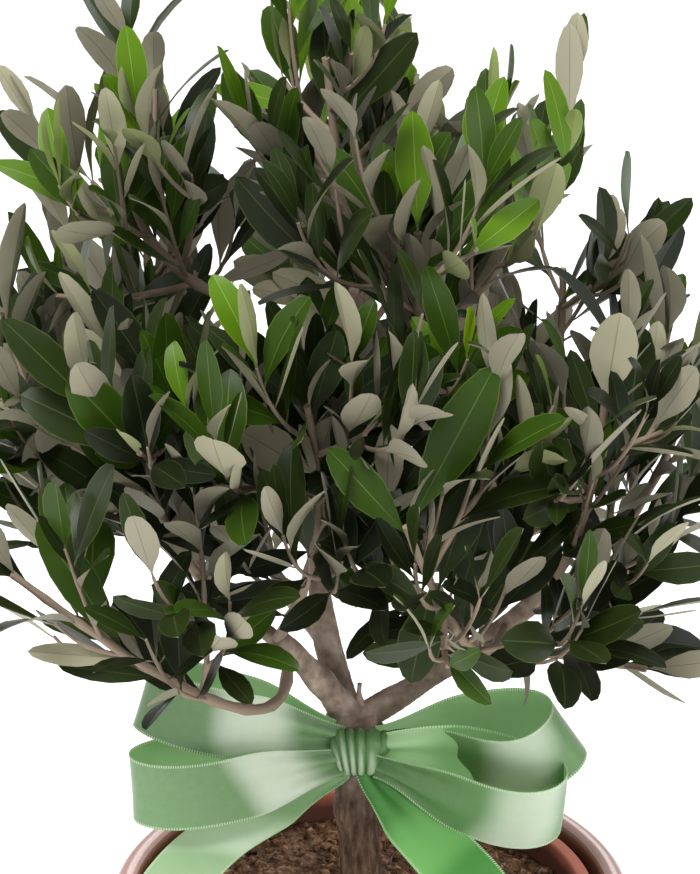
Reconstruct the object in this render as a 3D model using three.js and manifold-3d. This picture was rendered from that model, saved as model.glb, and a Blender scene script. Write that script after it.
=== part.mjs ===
// A young olive tree in its grow pot, stood in a glazed planter, with a satin ribbon bow at its fork.
// Millimetres, +Z up, the origin at the centre of the planter's flat underside. The front is -Y.
import * as THREE from "three";
import { mergeVertices } from "three/addons/utils/BufferGeometryUtils.js";
import Module from "manifold-3d";

const wasm = await Module();
wasm.setup();

// The gap kept between pieces that rest on or meet each other, and how close two vertices are the same one.
const SEAT_GAP = 0.3;
const MERGE = 1e-3;

// Planter: a thick glazed pot with a rolled rim.
const PLANTER_HEIGHT = 165;
const PLANTER_RIM_RADIUS = 97;
const PLANTER_FOOT_RADIUS = 68;
const PLANTER_LIP_WIDTH = 9;
const PLANTER_LIP_DEPTH = 22;
const PLANTER_WALL = 6;
const PLANTER_FLOOR = 8;
const ROUND_SIDES = 26;

// Grow pot: a thin terracotta-coloured pot with a broad flat rim.
const GROW_POT_RIM_TOP = 162;
const GROW_POT_RIM_RADIUS = 84.3;
const GROW_POT_RIM_WIDTH = 5.5;
const GROW_POT_RIM_DEPTH = 14;
const GROW_POT_FOOT_RADIUS = 56;
const GROW_POT_WALL = 2.4;

// Soil: fills the grow pot to a little below its rim, level round the foot of the trunk.
const SOIL_LEVEL = 150;
const SOIL_SWELL = 1.8;
const SOIL_PAD_RADIUS = 16;

// Trunk: leans slightly, with a root flare below and a swelling at the fork.
const TRUNK_FOOT = new THREE.Vector3(-3, 0, SOIL_LEVEL + SEAT_GAP);
const FORK = new THREE.Vector3(-7.5, 0, 237);
const TRUNK_RADIUS = 7.6;
const ROOT_FLARE = 4.6;
const FORK_SWELL = 1.9;
const SNAG_HEIGHT = 9;
const SNAG_RADIUS = 1.5;

// Crown: a rounded head, full at its sides, its upper half leaning left. Its underside is flattened, and rises
// towards the front from CROWN_FRONT_EDGE on.
const CROWN_CENTRE = new THREE.Vector3(-8, 0, 385);
const CROWN_RADII = new THREE.Vector3(148, 144, 142);
const CROWN_DEPTH = 150;
const CROWN_FULLNESS = 3.2;
const CROWN_LEAN = 0.12;
const CROWN_UNDERSIDE = 260;
const CROWN_FRONT_EDGE = -15;
const CROWN_FRONT_RISE = 0.5;

// Leaves and twigs, larger than life because one leaf here stands for two or three.
const LEAF_LENGTH = 47;
const LEAF_WIDTH = 19;
const LEAF_THICKNESS = 2;
const LEAF_WIDEST = 0.56;
const LEAF_STEP = 16;
const LEAF_CLEARANCE = 5;
const LEAF_TRIES = 7;
const TWIG_LENGTH = 56;
const TWIG_RADIUS = 1.25;
const TWIG_SHORTEST = 16;
const TWIG_ANGLE = 56;
const TWIG_TAPER = 0.62;
const TWIG_DEPTH = 26;
const SPACE_MARGIN = 2.4;
const LIMB_CLEARANCE = 1;

// Ribbon: 25 mm satin, drawn together where it enters the knot.
const RIBBON_WIDTH = 25;
const RIBBON_THICKNESS = 1;
const RIBBON_GATHER = 0.44;
const RIBBON_SPREAD = 4;
const KNOT = new THREE.Vector3(-4.5, -14.5, 228.5);
const KNOT_SIZE = new THREE.Vector3(21, 13, 18);
const KNOT_FLARE = 0.12;
const BAND_HEIGHT = 14;

const colour = (r, g, b, roughness, metalness = 0) =>
  new THREE.MeshStandardMaterial({ color: new THREE.Color(r, g, b), roughness, metalness });
const GLAZE = colour(0.8, 0.7, 0.68, 0.25);
const TERRACOTTA = colour(0.66, 0.3, 0.22, 0.7);
const EARTH = colour(0.2, 0.12, 0.08, 1);
const BARK = colour(0.42, 0.34, 0.3, 0.9);
const FOLIAGE = colour(0.2, 0.29, 0.13, 0.55);
const SATIN = colour(0.42, 0.72, 0.43, 0.35);

const vec = (x, y, z) => new THREE.Vector3(x, y, z);
const degrees = THREE.MathUtils.degToRad;
const mix = THREE.MathUtils.lerp;

// Limbs: each grows from a place along its parent to its tip, bowed sideways by bend at the middle.
const LIMBS = {
  left_bough: { on: "trunk", at: 0.95, tip: vec(-34, -17, 275), bend: vec(3, 2, -2), radii: [6, 3.9] },
  leader: { on: "trunk", at: 0.97, tip: vec(-7, 12, 398), bend: vec(-13, 12, -14), radii: [5.2, 2.5] },
  right_bough: { on: "trunk", at: 0.95, tip: vec(63, 0, 285), bend: vec(2, 6, -4), radii: [5.2, 3.1] },
  left_outer_bough: { on: "left_bough", at: 0.62, tip: vec(-66, -1, 303), bend: vec(-6, 4, 2), radii: [3, 2.2] },
  rear_left_bough: { on: "leader", at: 0.16, tip: vec(-52, 52, 312), bend: vec(-6, 8, -2), radii: [3.2, 2.3] },
  rear_right_bough: { on: "right_bough", at: 0.42, tip: vec(46, 58, 306), bend: vec(4, 6, -6), radii: [3.2, 2.3] },
  rear_bough: { on: "leader", at: 0.38, tip: vec(-2, 66, 350), bend: vec(0, 6, -5), radii: [2.7, 2.1] },
  upper_right_bough: { on: "leader", at: 0.56, tip: vec(30, -6, 396), bend: vec(5, 0, -7), radii: [2.7, 2.1] },
  upper_left_bough: { on: "leader", at: 0.66, tip: vec(-48, -12, 402), bend: vec(-5, 0, -6), radii: [2.5, 2] },
};

// Masses of foliage: the stem of each grows on from its bough, and its twigs fill the space round it.
// twigs is how many side twigs the stem bears, and low is the lowest that its leaves hang.
const MASSES = {
  foliage_front_low_left: { on: "left_bough", at: 0.9, tip: vec(-119, -82, 329), bend: vec(27, -7, -33), twigs: 4, low: 250 },
  foliage_front_left: { on: "left_bough", at: 0.99, tip: vec(-21.8, -76, 386), bend: vec(8, -1, -4), twigs: 5, low: 262 },
  foliage_left: { on: "left_outer_bough", at: 0.98, tip: vec(-108, 2, 356), bend: vec(-6, 0, -5), twigs: 5 },
  foliage_left_front: { on: "left_outer_bough", at: 0.6, tip: vec(-80, -56, 384), bend: vec(-4, -12, -8), twigs: 5 },
  foliage_rear_left: { on: "rear_left_bough", at: 0.98, tip: vec(-82, 58, 400), bend: vec(-8, 4, -6), twigs: 5 },
  foliage_rear_low_left: { on: "rear_left_bough", at: 0.72, tip: vec(-72, 76, 306), bend: vec(-2, 4, -6), twigs: 4 },
  foliage_rear: { on: "rear_bough", at: 0.98, tip: vec(-6, 96, 396), bend: vec(0, 8, -8), twigs: 5 },
  foliage_rear_low: { on: "rear_bough", at: 0.5, tip: vec(8, 92, 312), bend: vec(2, 4, -6), twigs: 4 },
  foliage_rear_right: { on: "rear_right_bough", at: 0.98, tip: vec(70, 60, 388), bend: vec(8, 4, -8), twigs: 5 },
  foliage_rear_low_right: { on: "rear_right_bough", at: 0.7, tip: vec(80, 62, 300), bend: vec(2, 6, -8), twigs: 4 },
  foliage_right: { on: "right_bough", at: 0.99, tip: vec(107, -3, 350), bend: vec(5, 4, -8), twigs: 5 },
  foliage_right_low: { on: "right_bough", at: 0.62, tip: vec(96, -36, 272), bend: vec(3, -6, 3), twigs: 4, low: 228 },
  foliage_right_front: { on: "right_bough", at: 0.9, tip: vec(76, -62, 384), bend: vec(4, -8, -6), twigs: 5 },
  foliage_front: { on: "right_bough", at: 0.76, tip: vec(10, -96, 352), bend: vec(4, -11.5, -20), twigs: 5, low: 262 },
  foliage_top_right: { on: "upper_right_bough", at: 0.98, tip: vec(56, -10, 452), bend: vec(4, 0, -4), twigs: 5 },
  foliage_front_upper: { on: "upper_right_bough", at: 0.6, tip: vec(14, -62, 440), bend: vec(0, -10, -10), twigs: 5 },
  foliage_upper_left: { on: "upper_left_bough", at: 0.98, tip: vec(-82, -28, 446), bend: vec(-4, -2, -6), twigs: 5 },
  foliage_top: { on: "leader", at: 0.995, tip: vec(-16, -8, 484), bend: vec(0, -2, 0), twigs: 5 },
  foliage_rear_top: { on: "leader", at: 0.86, tip: vec(-14, 58, 458), bend: vec(0, 6, -8), twigs: 5 },
};

// A repeatable source of numbers from 0 to 1.
function numbersFrom(seed) {
  let state = seed >>> 0;
  return () => {
    state = (state + 0x6d2b79f5) >>> 0;
    let t = Math.imul(state ^ (state >>> 15), 1 | state);
    t = (t + Math.imul(t ^ (t >>> 7), 61 | t)) ^ t;
    return ((t ^ (t >>> 14)) >>> 0) / 4294967296;
  };
}

// The closed solid of a geometry, with its shared vertices merged.
function solidOf(geometry) {
  const bare = geometry.clone();
  bare.deleteAttribute("normal");
  bare.deleteAttribute("uv");
  const merged = mergeVertices(bare, 1e-4);
  return new wasm.Manifold(
    new wasm.Mesh({
      numProp: 3,
      vertProperties: merged.attributes.position.array,
      triVerts: new Uint32Array(merged.index.array),
    }),
  );
}

function geometryOf(solid) {
  const mesh = solid.getMesh();
  const places = new Float32Array(mesh.numVert * 3);
  for (let i = 0; i < mesh.numVert; i++) {
    places.set(mesh.vertProperties.subarray(i * mesh.numProp, i * mesh.numProp + 3), i * 3);
  }
  const geometry = new THREE.BufferGeometry();
  geometry.setAttribute("position", new THREE.BufferAttribute(places, 3));
  geometry.setIndex(new THREE.BufferAttribute(mesh.triVerts.slice(), 1));
  return geometry;
}

// The largest body of a solid: a scrap that a cut leaves behind is dropped.
function largestBody(solid) {
  return solid.decompose().reduce((best, body) => (body.volume() > best.volume() ? body : best));
}

// Moves each vertex of a geometry to where place(x, y, z) says.
function reshape(geometry, place) {
  const points = geometry.attributes.position;
  for (let i = 0; i < points.count; i++) {
    const moved = place(points.getX(i), points.getY(i), points.getZ(i));
    points.setXYZ(i, moved.x, moved.y, moved.z);
  }
  return geometry;
}

// A round piece turned from a profile of [radius, height] pairs.
function turned(profile, sides = ROUND_SIDES) {
  const points = profile.map(([radius, height]) => new THREE.Vector2(radius, height));
  return new THREE.LatheGeometry(points, sides).rotateX(Math.PI / 2);
}

// The quadratic curve from start to tip whose middle is pushed aside by bend.
function bowed(start, tip, bend) {
  const control = start.clone().add(tip).multiplyScalar(0.5).addScaledVector(bend, 2);
  return new THREE.QuadraticBezierCurve3(start, control, tip);
}

// A tube along a curve: radiusAt(along, angle) gives its radius, and both its ends are closed.
function tube(curve, sides, steps, radiusAt) {
  const { tangents, normals, binormals } = curve.computeFrenetFrames(steps, false);
  const centres = tangents.map((_, i) => curve.getPointAt(i / steps));
  return reshape(new THREE.CylinderGeometry(1, 1, 1, sides, steps), (x, y, z) => {
    const i = Math.round((y + 0.5) * steps);
    const radius = Math.hypot(x, z) < 0.5 ? 0 : radiusAt(i / steps, Math.atan2(z, x));
    return centres[i]
      .clone()
      .addScaledVector(binormals[i], x * radius)
      .addScaledVector(normals[i], z * radius);
  });
}

// A flat strip along a curve: widthAt(along) gives its width, and across its width direction.
function strip(curve, steps, thickness, widthAt, across) {
  const box = new THREE.BoxGeometry(1, 1, 1, 1, steps, 1);
  return reshape(box, (x, y, z) => {
    const along = y + 0.5;
    const tangent = curve.getTangentAt(along);
    const side = across(along).clone().addScaledVector(tangent, -across(along).dot(tangent)).normalize();
    const face = side.clone().cross(tangent);
    return curve
      .getPointAt(along)
      .addScaledVector(side, x * widthAt(along))
      .addScaledVector(face, z * thickness);
  });
}

function planter() {
  const inner = PLANTER_RIM_RADIUS - PLANTER_LIP_WIDTH;
  const lipFoot = PLANTER_HEIGHT - PLANTER_LIP_DEPTH;
  const body = PLANTER_RIM_RADIUS - 3.5;
  const profile = [
    [0, 0],
    [PLANTER_FOOT_RADIUS - 2, 0],
    [PLANTER_FOOT_RADIUS, 2],
    [mix(PLANTER_FOOT_RADIUS, body, 0.62), PLANTER_HEIGHT * 0.4],
    [body, lipFoot - 3],
    [PLANTER_RIM_RADIUS, lipFoot + 2],
    [PLANTER_RIM_RADIUS, PLANTER_HEIGHT - 4],
    [PLANTER_RIM_RADIUS - 1.4, PLANTER_HEIGHT - 1.2],
    [PLANTER_RIM_RADIUS - 4.2, PLANTER_HEIGHT],
    [inner + 1.6, PLANTER_HEIGHT - 1],
    [inner, PLANTER_HEIGHT - 4],
    [mix(PLANTER_FOOT_RADIUS, body, 0.62) - PLANTER_WALL, PLANTER_HEIGHT * 0.4],
    [PLANTER_FOOT_RADIUS - PLANTER_WALL, PLANTER_FLOOR],
    [0, PLANTER_FLOOR],
  ];
  return turned(profile);
}

function growPot() {
  const foot = PLANTER_FLOOR + SEAT_GAP;
  const rimFoot = GROW_POT_RIM_TOP - GROW_POT_RIM_DEPTH;
  const throat = GROW_POT_RIM_RADIUS - GROW_POT_RIM_WIDTH;
  const profile = [
    [0, foot],
    [GROW_POT_FOOT_RADIUS, foot],
    [throat + GROW_POT_WALL, rimFoot - 2],
    [GROW_POT_RIM_RADIUS, rimFoot],
    [GROW_POT_RIM_RADIUS, GROW_POT_RIM_TOP - 1],
    [GROW_POT_RIM_RADIUS - 1, GROW_POT_RIM_TOP],
    [throat + 1, GROW_POT_RIM_TOP],
    [throat, GROW_POT_RIM_TOP - 1],
    [throat, rimFoot - 2],
    [GROW_POT_FOOT_RADIUS - GROW_POT_WALL, foot + GROW_POT_WALL],
    [0, foot + GROW_POT_WALL],
  ];
  return turned(profile);
}

// The soil's height above its level: broad low swellings that die away round the trunk and at the pot's wall.
function soilSwell(x, y, edge) {
  const radius = Math.hypot(x, y);
  const fade = THREE.MathUtils.smoothstep(radius, SOIL_PAD_RADIUS, SOIL_PAD_RADIUS + 12);
  const inside = 1 - THREE.MathUtils.smoothstep(radius, edge - 6, edge);
  return SOIL_SWELL * fade * inside * (Math.sin(x / 9 + 1) * Math.cos(y / 11) + 0.4 * Math.sin((x - y) / 6));
}

function soil() {
  const foot = PLANTER_FLOOR + 2 * SEAT_GAP + GROW_POT_WALL;
  const edge = GROW_POT_RIM_RADIUS - GROW_POT_RIM_WIDTH - 0.5;
  const rings = [0.86, 0.7, 0.52, 0.34].map((share) => [edge * share, SOIL_LEVEL]);
  const profile = [
    [0, foot],
    [GROW_POT_FOOT_RADIUS - GROW_POT_WALL - 0.5, foot],
    [edge, GROW_POT_RIM_TOP - GROW_POT_RIM_DEPTH - 2],
    [edge, SOIL_LEVEL],
    ...rings,
    [SOIL_PAD_RADIUS, SOIL_LEVEL],
    [0, SOIL_LEVEL],
  ];
  return reshape(turned(profile), (x, y, z) =>
    vec(x, y, z < SOIL_LEVEL - 0.01 ? z : z + soilSwell(x, y, edge)),
  );
}

const trunkCurve = bowed(TRUNK_FOOT, FORK, vec(0.6, 0, 0));

// The trunk's radius: five root ridges at the foot, a knuckle half way and a broad swelling at the fork.
function trunkRadius(along, angle) {
  const flare = ROOT_FLARE * Math.exp(-along * 9) * (1 + 0.3 * Math.cos(5 * angle + 0.6));
  const knuckle = 0.9 * Math.exp(-(((along - 0.55) / 0.07) ** 2)) * (1 + Math.cos(angle - 2));
  const swelling = FORK_SWELL * THREE.MathUtils.smoothstep(along, 0.78, 0.97);
  const dome = along > 0.999 ? 0.6 : 1;
  return (TRUNK_RADIUS + flare + knuckle + swelling) * dome;
}

function trunk(grown = 0) {
  const stem = solidOf(tube(trunkCurve, 10, 11, (along, angle) => trunkRadius(along, angle) + grown));
  const snagCurve = bowed(FORK.clone().add(vec(0, 0, -4)), FORK.clone().add(vec(0.6, 0, SNAG_HEIGHT)), vec(-0.3, 0, 0));
  const snag = solidOf(tube(snagCurve, 5, 3, (along) => mix(SNAG_RADIUS * 2, SNAG_RADIUS * 0.6, along) + grown));
  return stem.add(snag);
}

const curves = { trunk: trunkCurve };
for (const [name, limb] of Object.entries(LIMBS)) {
  curves[name] = bowed(curves[limb.on].getPointAt(limb.at), limb.tip, limb.bend);
}

function limbRadius(name, along) {
  const [foot, tip] = LIMBS[name].radii;
  const knuckle = 0.09 * Math.sin(along * 17 + foot);
  return mix(foot, tip, along) * (1 + knuckle);
}

// A limb, or with grown its outer form enlarged on all sides, which other pieces are cut clear of.
function limbSolid(name, grown = 0) {
  if (name === "trunk") return trunk(grown);
  const sides = LIMBS[name].radii[0] > 4 ? 8 : 6;
  const steps = LIMBS[name].radii[0] > 4 ? 7 : 5;
  let curve = curves[name];
  if (grown) {
    const beyond = curve.getTangentAt(1).multiplyScalar(grown);
    curve = bowed(curve.getPointAt(0), curve.getPointAt(1).add(beyond), LIMBS[name].bend);
  }
  return solidOf(tube(curve, sides, steps, (along) => limbRadius(name, along) + grown));
}

const grownLimbs = Object.fromEntries(
  ["trunk", ...Object.keys(LIMBS)].map((name) => [name, limbSolid(name, SEAT_GAP)]),
);

const allLimbs = wasm.Manifold.union(Object.values(grownLimbs));

// A limb is cut clear of the limb it grows from and of those that left the same parent before it.
function limb(name) {
  const names = Object.keys(LIMBS);
  const earlier = names.slice(0, names.indexOf(name));
  const cutters = ["trunk", ...earlier].map((other) => grownLimbs[other]);
  return largestBody(cutters.reduce((solid, cutter) => solid.subtract(cutter), limbSolid(name)));
}

const SAMPLES = 8;
const sampled = (curve) => Array.from({ length: SAMPLES + 1 }, (_, i) => curve.getPointAt(i / SAMPLES));

for (const [name, mass] of Object.entries(MASSES)) {
  curves[name] = bowed(curves[mass.on].getPointAt(mass.at), mass.tip, mass.bend);
}
const stemPaths = Object.fromEntries(Object.keys(MASSES).map((name) => [name, sampled(curves[name])]));
const limbPaths = Object.fromEntries(["trunk", ...Object.keys(LIMBS)].map((name) => [name, sampled(curves[name])]));

// The distance from a point to a path of straight pieces, and how far along the path the nearest place is.
function nearest(point, path) {
  const line = new THREE.Line3();
  const foot = new THREE.Vector3();
  let best = { distance: Infinity, along: 0 };
  for (let i = 0; i + 1 < path.length; i++) {
    line.set(path[i], path[i + 1]);
    const share = line.closestPointToPointParameter(point, true);
    const distance = line.at(share, foot).distanceTo(point);
    if (distance < best.distance) best = { distance, along: (i + share) / (path.length - 1) };
  }
  return best;
}

// The ribbon's loops: the side each runs out to, how far it turns to the front and rises, how long it is,
// how wide it opens, how it is rolled, and where its root lies in the knot.
const LOOPS = {
  ribbon_loop_left_lower: { side: -1, turn: 12, rise: -2, length: 77, opening: 25, roll: -4, root: vec(0, 0, -3) },
  ribbon_loop_left_upper: { side: -1, turn: 5, rise: 17, length: 75, opening: 24, roll: -10, root: vec(0, 4, 3.2) },
  ribbon_loop_right_lower: { side: 1, turn: 17, rise: -6, length: 70, opening: 28, roll: -4, root: vec(0, 0, -3) },
  ribbon_loop_right_upper: { side: 1, turn: 11, rise: 9.5, length: 71, opening: 26, roll: -13, root: vec(0, 4, 3.2) },
};

// The ribbon's tails: places from the knot to each one's end, and how far its face is tilted.
const TAILS = {
  ribbon_tail_left: {
    path: [
      vec(-7, 4, -10.5), vec(-27.5, 2, -21), vec(-49.5, -11, -28.5), vec(-63.5, -28, -35),
      vec(-73, -47, -45), vec(-79, -61, -60), vec(-82, -67, -80), vec(-83, -69, -100),
    ],
    tilt: -10,
  },
  ribbon_tail_right: {
    path: [
      vec(6, -2, -11), vec(17.5, -12, -19.5), vec(29, -27, -25.5), vec(39.5, -45, -29.5),
      vec(48, -64, -35), vec(53.5, -79, -48), vec(56.5, -87, -70), vec(57.5, -89, -95),
    ],
    tilt: 12,
  },
};

// A teardrop: out from the knot at the back, round the end and back along the front.
class LoopCurve extends THREE.Curve {
  constructor(loop) {
    super();
    const turn = degrees(loop.turn);
    const rise = degrees(loop.rise);
    this.out = vec(loop.side * Math.cos(turn) * Math.cos(rise), -Math.sin(turn) * Math.cos(rise), Math.sin(rise));
    this.wide = vec(0, 0, 1).applyAxisAngle(vec(1, 0, 0), degrees(loop.roll));
    this.wide.addScaledVector(this.out, -this.wide.dot(this.out)).normalize();
    this.open = this.out.clone().cross(this.wide).multiplyScalar(-loop.side).normalize();
    this.loop = loop;
    this.root = KNOT.clone().add(loop.root).add(vec(loop.side * (KNOT_SIZE.x / 2 - 4), 0, 0));
  }

  getPoint(share, target = new THREE.Vector3()) {
    const { length, opening } = this.loop;
    const turn = 2 * Math.PI * share;
    const out = (length * (1 - Math.cos(turn))) / 2;
    const bowedOut = 0.6 * opening * Math.sin(turn) * Math.sin(Math.PI * share) ** 1.8;
    const open = bowedOut + RIBBON_SPREAD * Math.cos(Math.PI * share);
    return target.copy(this.root).addScaledVector(this.out, out).addScaledVector(this.open, open);
  }
}

const loopCurves = Object.fromEntries(Object.entries(LOOPS).map(([name, loop]) => [name, new LoopCurve(loop)]));
const gathered = (share) => RIBBON_WIDTH * mix(RIBBON_GATHER, 1, THREE.MathUtils.smoothstep(share, 0, 0.22));
const loopWidth = (along) => gathered(Math.min(along, 1 - along));

function loopSolid(name) {
  const curve = loopCurves[name];
  return solidOf(strip(curve, 16, RIBBON_THICKNESS, loopWidth, () => curve.wide));
}

const tailCurves = Object.fromEntries(
  Object.entries(TAILS).map(([name, { path }]) => {
    const places = path.map((step) => KNOT.clone().add(step));
    return [name, new THREE.CatmullRomCurve3(places, false, "catmullrom", 0.5)];
  }),
);

// A tail lies across the way it heads, level from side to side and then tilted.
const tailAcross = (name) => (along) => {
  const level = tailCurves[name].getTangentAt(Math.min(along, 0.6));
  const heading = tailCurves[name].getTangentAt(along);
  const side = vec(-level.y, level.x, 0);
  side.addScaledVector(heading, -side.dot(heading)).normalize();
  return side.applyAxisAngle(heading, degrees(TAILS[name].tilt));
};

function tailSolid(name) {
  const curve = tailCurves[name];
  return solidOf(strip(curve, 12, RIBBON_THICKNESS, gathered, tailAcross(name)));
}

// The knot: a barrel with shallow upright pleats, a little wider above, in front of the band round the trunk.
function knotSolid(grown = 0) {
  const ball = new THREE.SphereGeometry(1, 12, 8);
  return solidOf(
    reshape(ball, (x, y, z) => {
      const pleat = 1 + 0.05 * Math.cos(9 * Math.atan2(z, x));
      const flat = Math.sign(y) * Math.abs(y) ** 0.6;
      const wide = 1 + KNOT_FLARE * flat;
      return vec(
        KNOT.x + x * pleat * wide * (KNOT_SIZE.x / 2 + grown),
        KNOT.y - z * pleat * (KNOT_SIZE.y / 2 + grown),
        KNOT.z + flat * (KNOT_SIZE.z / 2 + grown),
      );
    }),
  );
}

const BAND_CENTRE = 0.865;

function bandSolid(grown = 0) {
  const half = BAND_HEIGHT / 2 + grown;
  const axis = trunkCurve.getPointAt(BAND_CENTRE);
  const profile = [
    [0, -half],
    [TRUNK_RADIUS + 2.8 + grown, -half],
    [TRUNK_RADIUS + 3.6 + grown, 0],
    [TRUNK_RADIUS + 4.4 + grown, half],
    [0, half],
  ];
  return solidOf(turned(profile, 14).translate(axis.x, axis.y, axis.z));
}

// The ribbon's places, sampled along and across, which leaves keep away from.
const ribbonPlaces = [];
for (const [curve, width, across] of [
  ...Object.values(loopCurves).map((curve) => [curve, loopWidth, () => curve.wide]),
  ...Object.entries(tailCurves).map(([name, curve]) => [curve, gathered, tailAcross(name)]),
]) {
  for (let i = 0; i <= 20; i++) {
    for (const share of [-0.5, -0.25, 0, 0.25, 0.5]) {
      ribbonPlaces.push(curve.getPointAt(i / 20).addScaledVector(across(i / 20), share * width(i / 20)));
    }
  }
}

// How far out a point lies in the crown: 0 at its middle and 1 at its surface, drawn in all round by depth.
function crownShare(point, depth = 0) {
  const rise = point.z - CROWN_CENTRE.z;
  const across = (point.x - CROWN_CENTRE.x + CROWN_LEAN * Math.max(rise, 0)) / (CROWN_RADII.x - depth);
  const forward = (point.y - CROWN_CENTRE.y) / (CROWN_RADII.y - depth);
  const height =
    rise > 0 ? (rise / (CROWN_RADII.z - depth)) ** 2 : Math.abs(rise / (CROWN_DEPTH - depth)) ** CROWN_FULLNESS;
  return across ** 2 + forward ** 2 + height;
}

// Whether a point may hold foliage of this mass: inside the crown, and nearest to the mass's own stem.
function inSpace(point, name, margin = SPACE_MARGIN, depth = 0) {
  const { low } = MASSES[name];
  const under = (low ?? CROWN_UNDERSIDE) + CROWN_FRONT_RISE * Math.max(0, CROWN_FRONT_EDGE - point.y);
  if (point.z < under || crownShare(point, depth) > (low ? 1.25 : 1)) return false;
  const own = nearest(point, stemPaths[name]).distance;
  return Object.entries(stemPaths).every(
    ([other, path]) => other === name || nearest(point, path).distance > own + margin,
  );
}

function offLimbs(point, own, margin = LIMB_CLEARANCE) {
  for (const [name, path] of Object.entries(limbPaths)) {
    const near = nearest(point, path);
    const radius = name === "trunk" ? TRUNK_RADIUS + FORK_SWELL : limbRadius(name, near.along);
    if (near.distance < radius + margin + (name === own ? 0.5 : 0)) return false;
  }
  return ribbonPlaces.every((place) => place.distanceTo(point) > 4.5);
}

// Which way growth turns at a point: outwards from the crown's middle, and up to the light.
function towardsLight(point) {
  const out = point.clone().sub(CROWN_CENTRE).normalize();
  return out.multiplyScalar(0.8).add(vec(0, 0, 0.6)).normalize();
}

// The direction that stands off a heading by angle, on the side given by spin round it.
function standingOff(heading, side, spin, angle) {
  const away = side.clone().addScaledVector(heading, -side.dot(heading)).normalize();
  away.applyAxisAngle(heading, spin);
  return heading.clone().multiplyScalar(Math.cos(angle)).addScaledVector(away, Math.sin(angle)).normalize();
}

// A leaf: eight faces, widest past its middle, its root at the twig's axis and its upper face towards the twig's tip.
function leafShape(leaf) {
  const across = leaf.up.clone().cross(leaf.direction).normalize();
  const up = leaf.direction.clone().cross(across);
  return reshape(new THREE.OctahedronGeometry(1), (x, y, z) => {
    const along = Math.abs(z) > 0.5 ? (z + 1) / 2 : LEAF_WIDEST;
    return leaf.root
      .clone()
      .addScaledVector(leaf.direction, along * leaf.length)
      .addScaledVector(across, (x * leaf.width) / 2)
      .addScaledVector(up, (y * LEAF_THICKNESS) / 2 - 0.06 * leaf.length * along * along);
  });
}

// A leaf's outline: its root, its widest place on each side and its tip.
function outlineOf(leaf) {
  const across = leaf.up.clone().cross(leaf.direction).normalize();
  const at = (along, aside) =>
    leaf.root.clone().addScaledVector(leaf.direction, along * leaf.length).addScaledVector(across, aside * leaf.width);
  return { root: at(0.08, 0), left: at(LEAF_WIDEST, -0.5), tip: at(1, 0), right: at(LEAF_WIDEST, 0.5), middle: at(0.4, 0) };
}

// The outline of every leaf that has grown so far, and the straight pieces of every twig and stem.
const grownLeaves = [];
const woodPieces = [];

// Whether the straight line between two points passes through a leaf's flat outline.
function pierces(start, end, { root, left, tip, right }) {
  const length = start.distanceTo(end);
  const ray = new THREE.Ray(start, end.clone().sub(start).divideScalar(length));
  const hit = new THREE.Vector3();
  return [left, right].some(
    (side) => ray.intersectTriangle(root, side, tip, false, hit) !== null && hit.distanceTo(start) <= length,
  );
}

function leavesMeet(a, b) {
  if (a.middle.distanceTo(b.middle) > 1.3 * LEAF_LENGTH) return false;
  const edges = ({ root, left, tip, right }) => [[root, left], [left, tip], [root, right], [right, tip], [root, tip]];
  const places = ({ left, tip, right, middle }) => [left, tip, right, middle];
  return (
    places(a).some((point) => places(b).some((other) => point.distanceTo(other) < LEAF_CLEARANCE)) ||
    edges(a).some(([start, end]) => pierces(start, end, b)) ||
    edges(b).some(([start, end]) => pierces(start, end, a))
  );
}

// A leaf is kept where it stays in its space, off the limbs and clear of the other leaves and twigs.
function fits(leaf, name, own) {
  const outline = outlineOf(leaf);
  return (
    [outline.left, outline.tip, outline.right, outline.middle].every(
      (place) => inSpace(place, name) && offLimbs(place, name),
    ) &&
    !grownLeaves.some((other) => leavesMeet(outline, other)) &&
    !woodPieces.some(({ start, end, curve }) => curve !== own && pierces(start, end, outline))
  );
}

// Leaves in crossed pairs along a twig. One that doesn't fit is turned and shortened a few times, and then skipped.
function leavesOn(curve, radius, name, random, from = 0.3) {
  const pairs = Math.max(1, Math.round((curve.getLength() * (1 - from)) / LEAF_STEP));
  const grown = [];
  const turn = random() * Math.PI;
  for (let i = 0; i < 2 * (pairs + 1); i++) {
    const pair = Math.floor(i / 2);
    const along = Math.min(0.985, mix(from, 1, pair / pairs));
    const heading = curve.getTangentAt(along);
    const last = pair === pairs;
    for (let attempt = 0; attempt < LEAF_TRIES; attempt++) {
      const loose = 0.25 + 0.2 * attempt;
      const spin = turn + (pair + 2 * (i % 2)) * (Math.PI / 2) + (random() - 0.5) * 2 * loose;
      const angle = degrees(last ? 24 : mix(58, 42, along)) + (random() - 0.5) * loose;
      const size = (0.84 + 0.3 * random()) * (1 - 0.04 * attempt);
      const leaf = {
        root: curve.getPointAt(along),
        direction: standingOff(heading, vec(0.31, 0.44, 0.84), spin, angle),
        up: heading,
        length: LEAF_LENGTH * size + radius,
        width: LEAF_WIDTH * size,
      };
      if (fits(leaf, name, curve)) {
        grownLeaves.push(outlineOf(leaf));
        grown.push(leafShape(leaf));
        break;
      }
    }
  }
  return grown;
}

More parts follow.
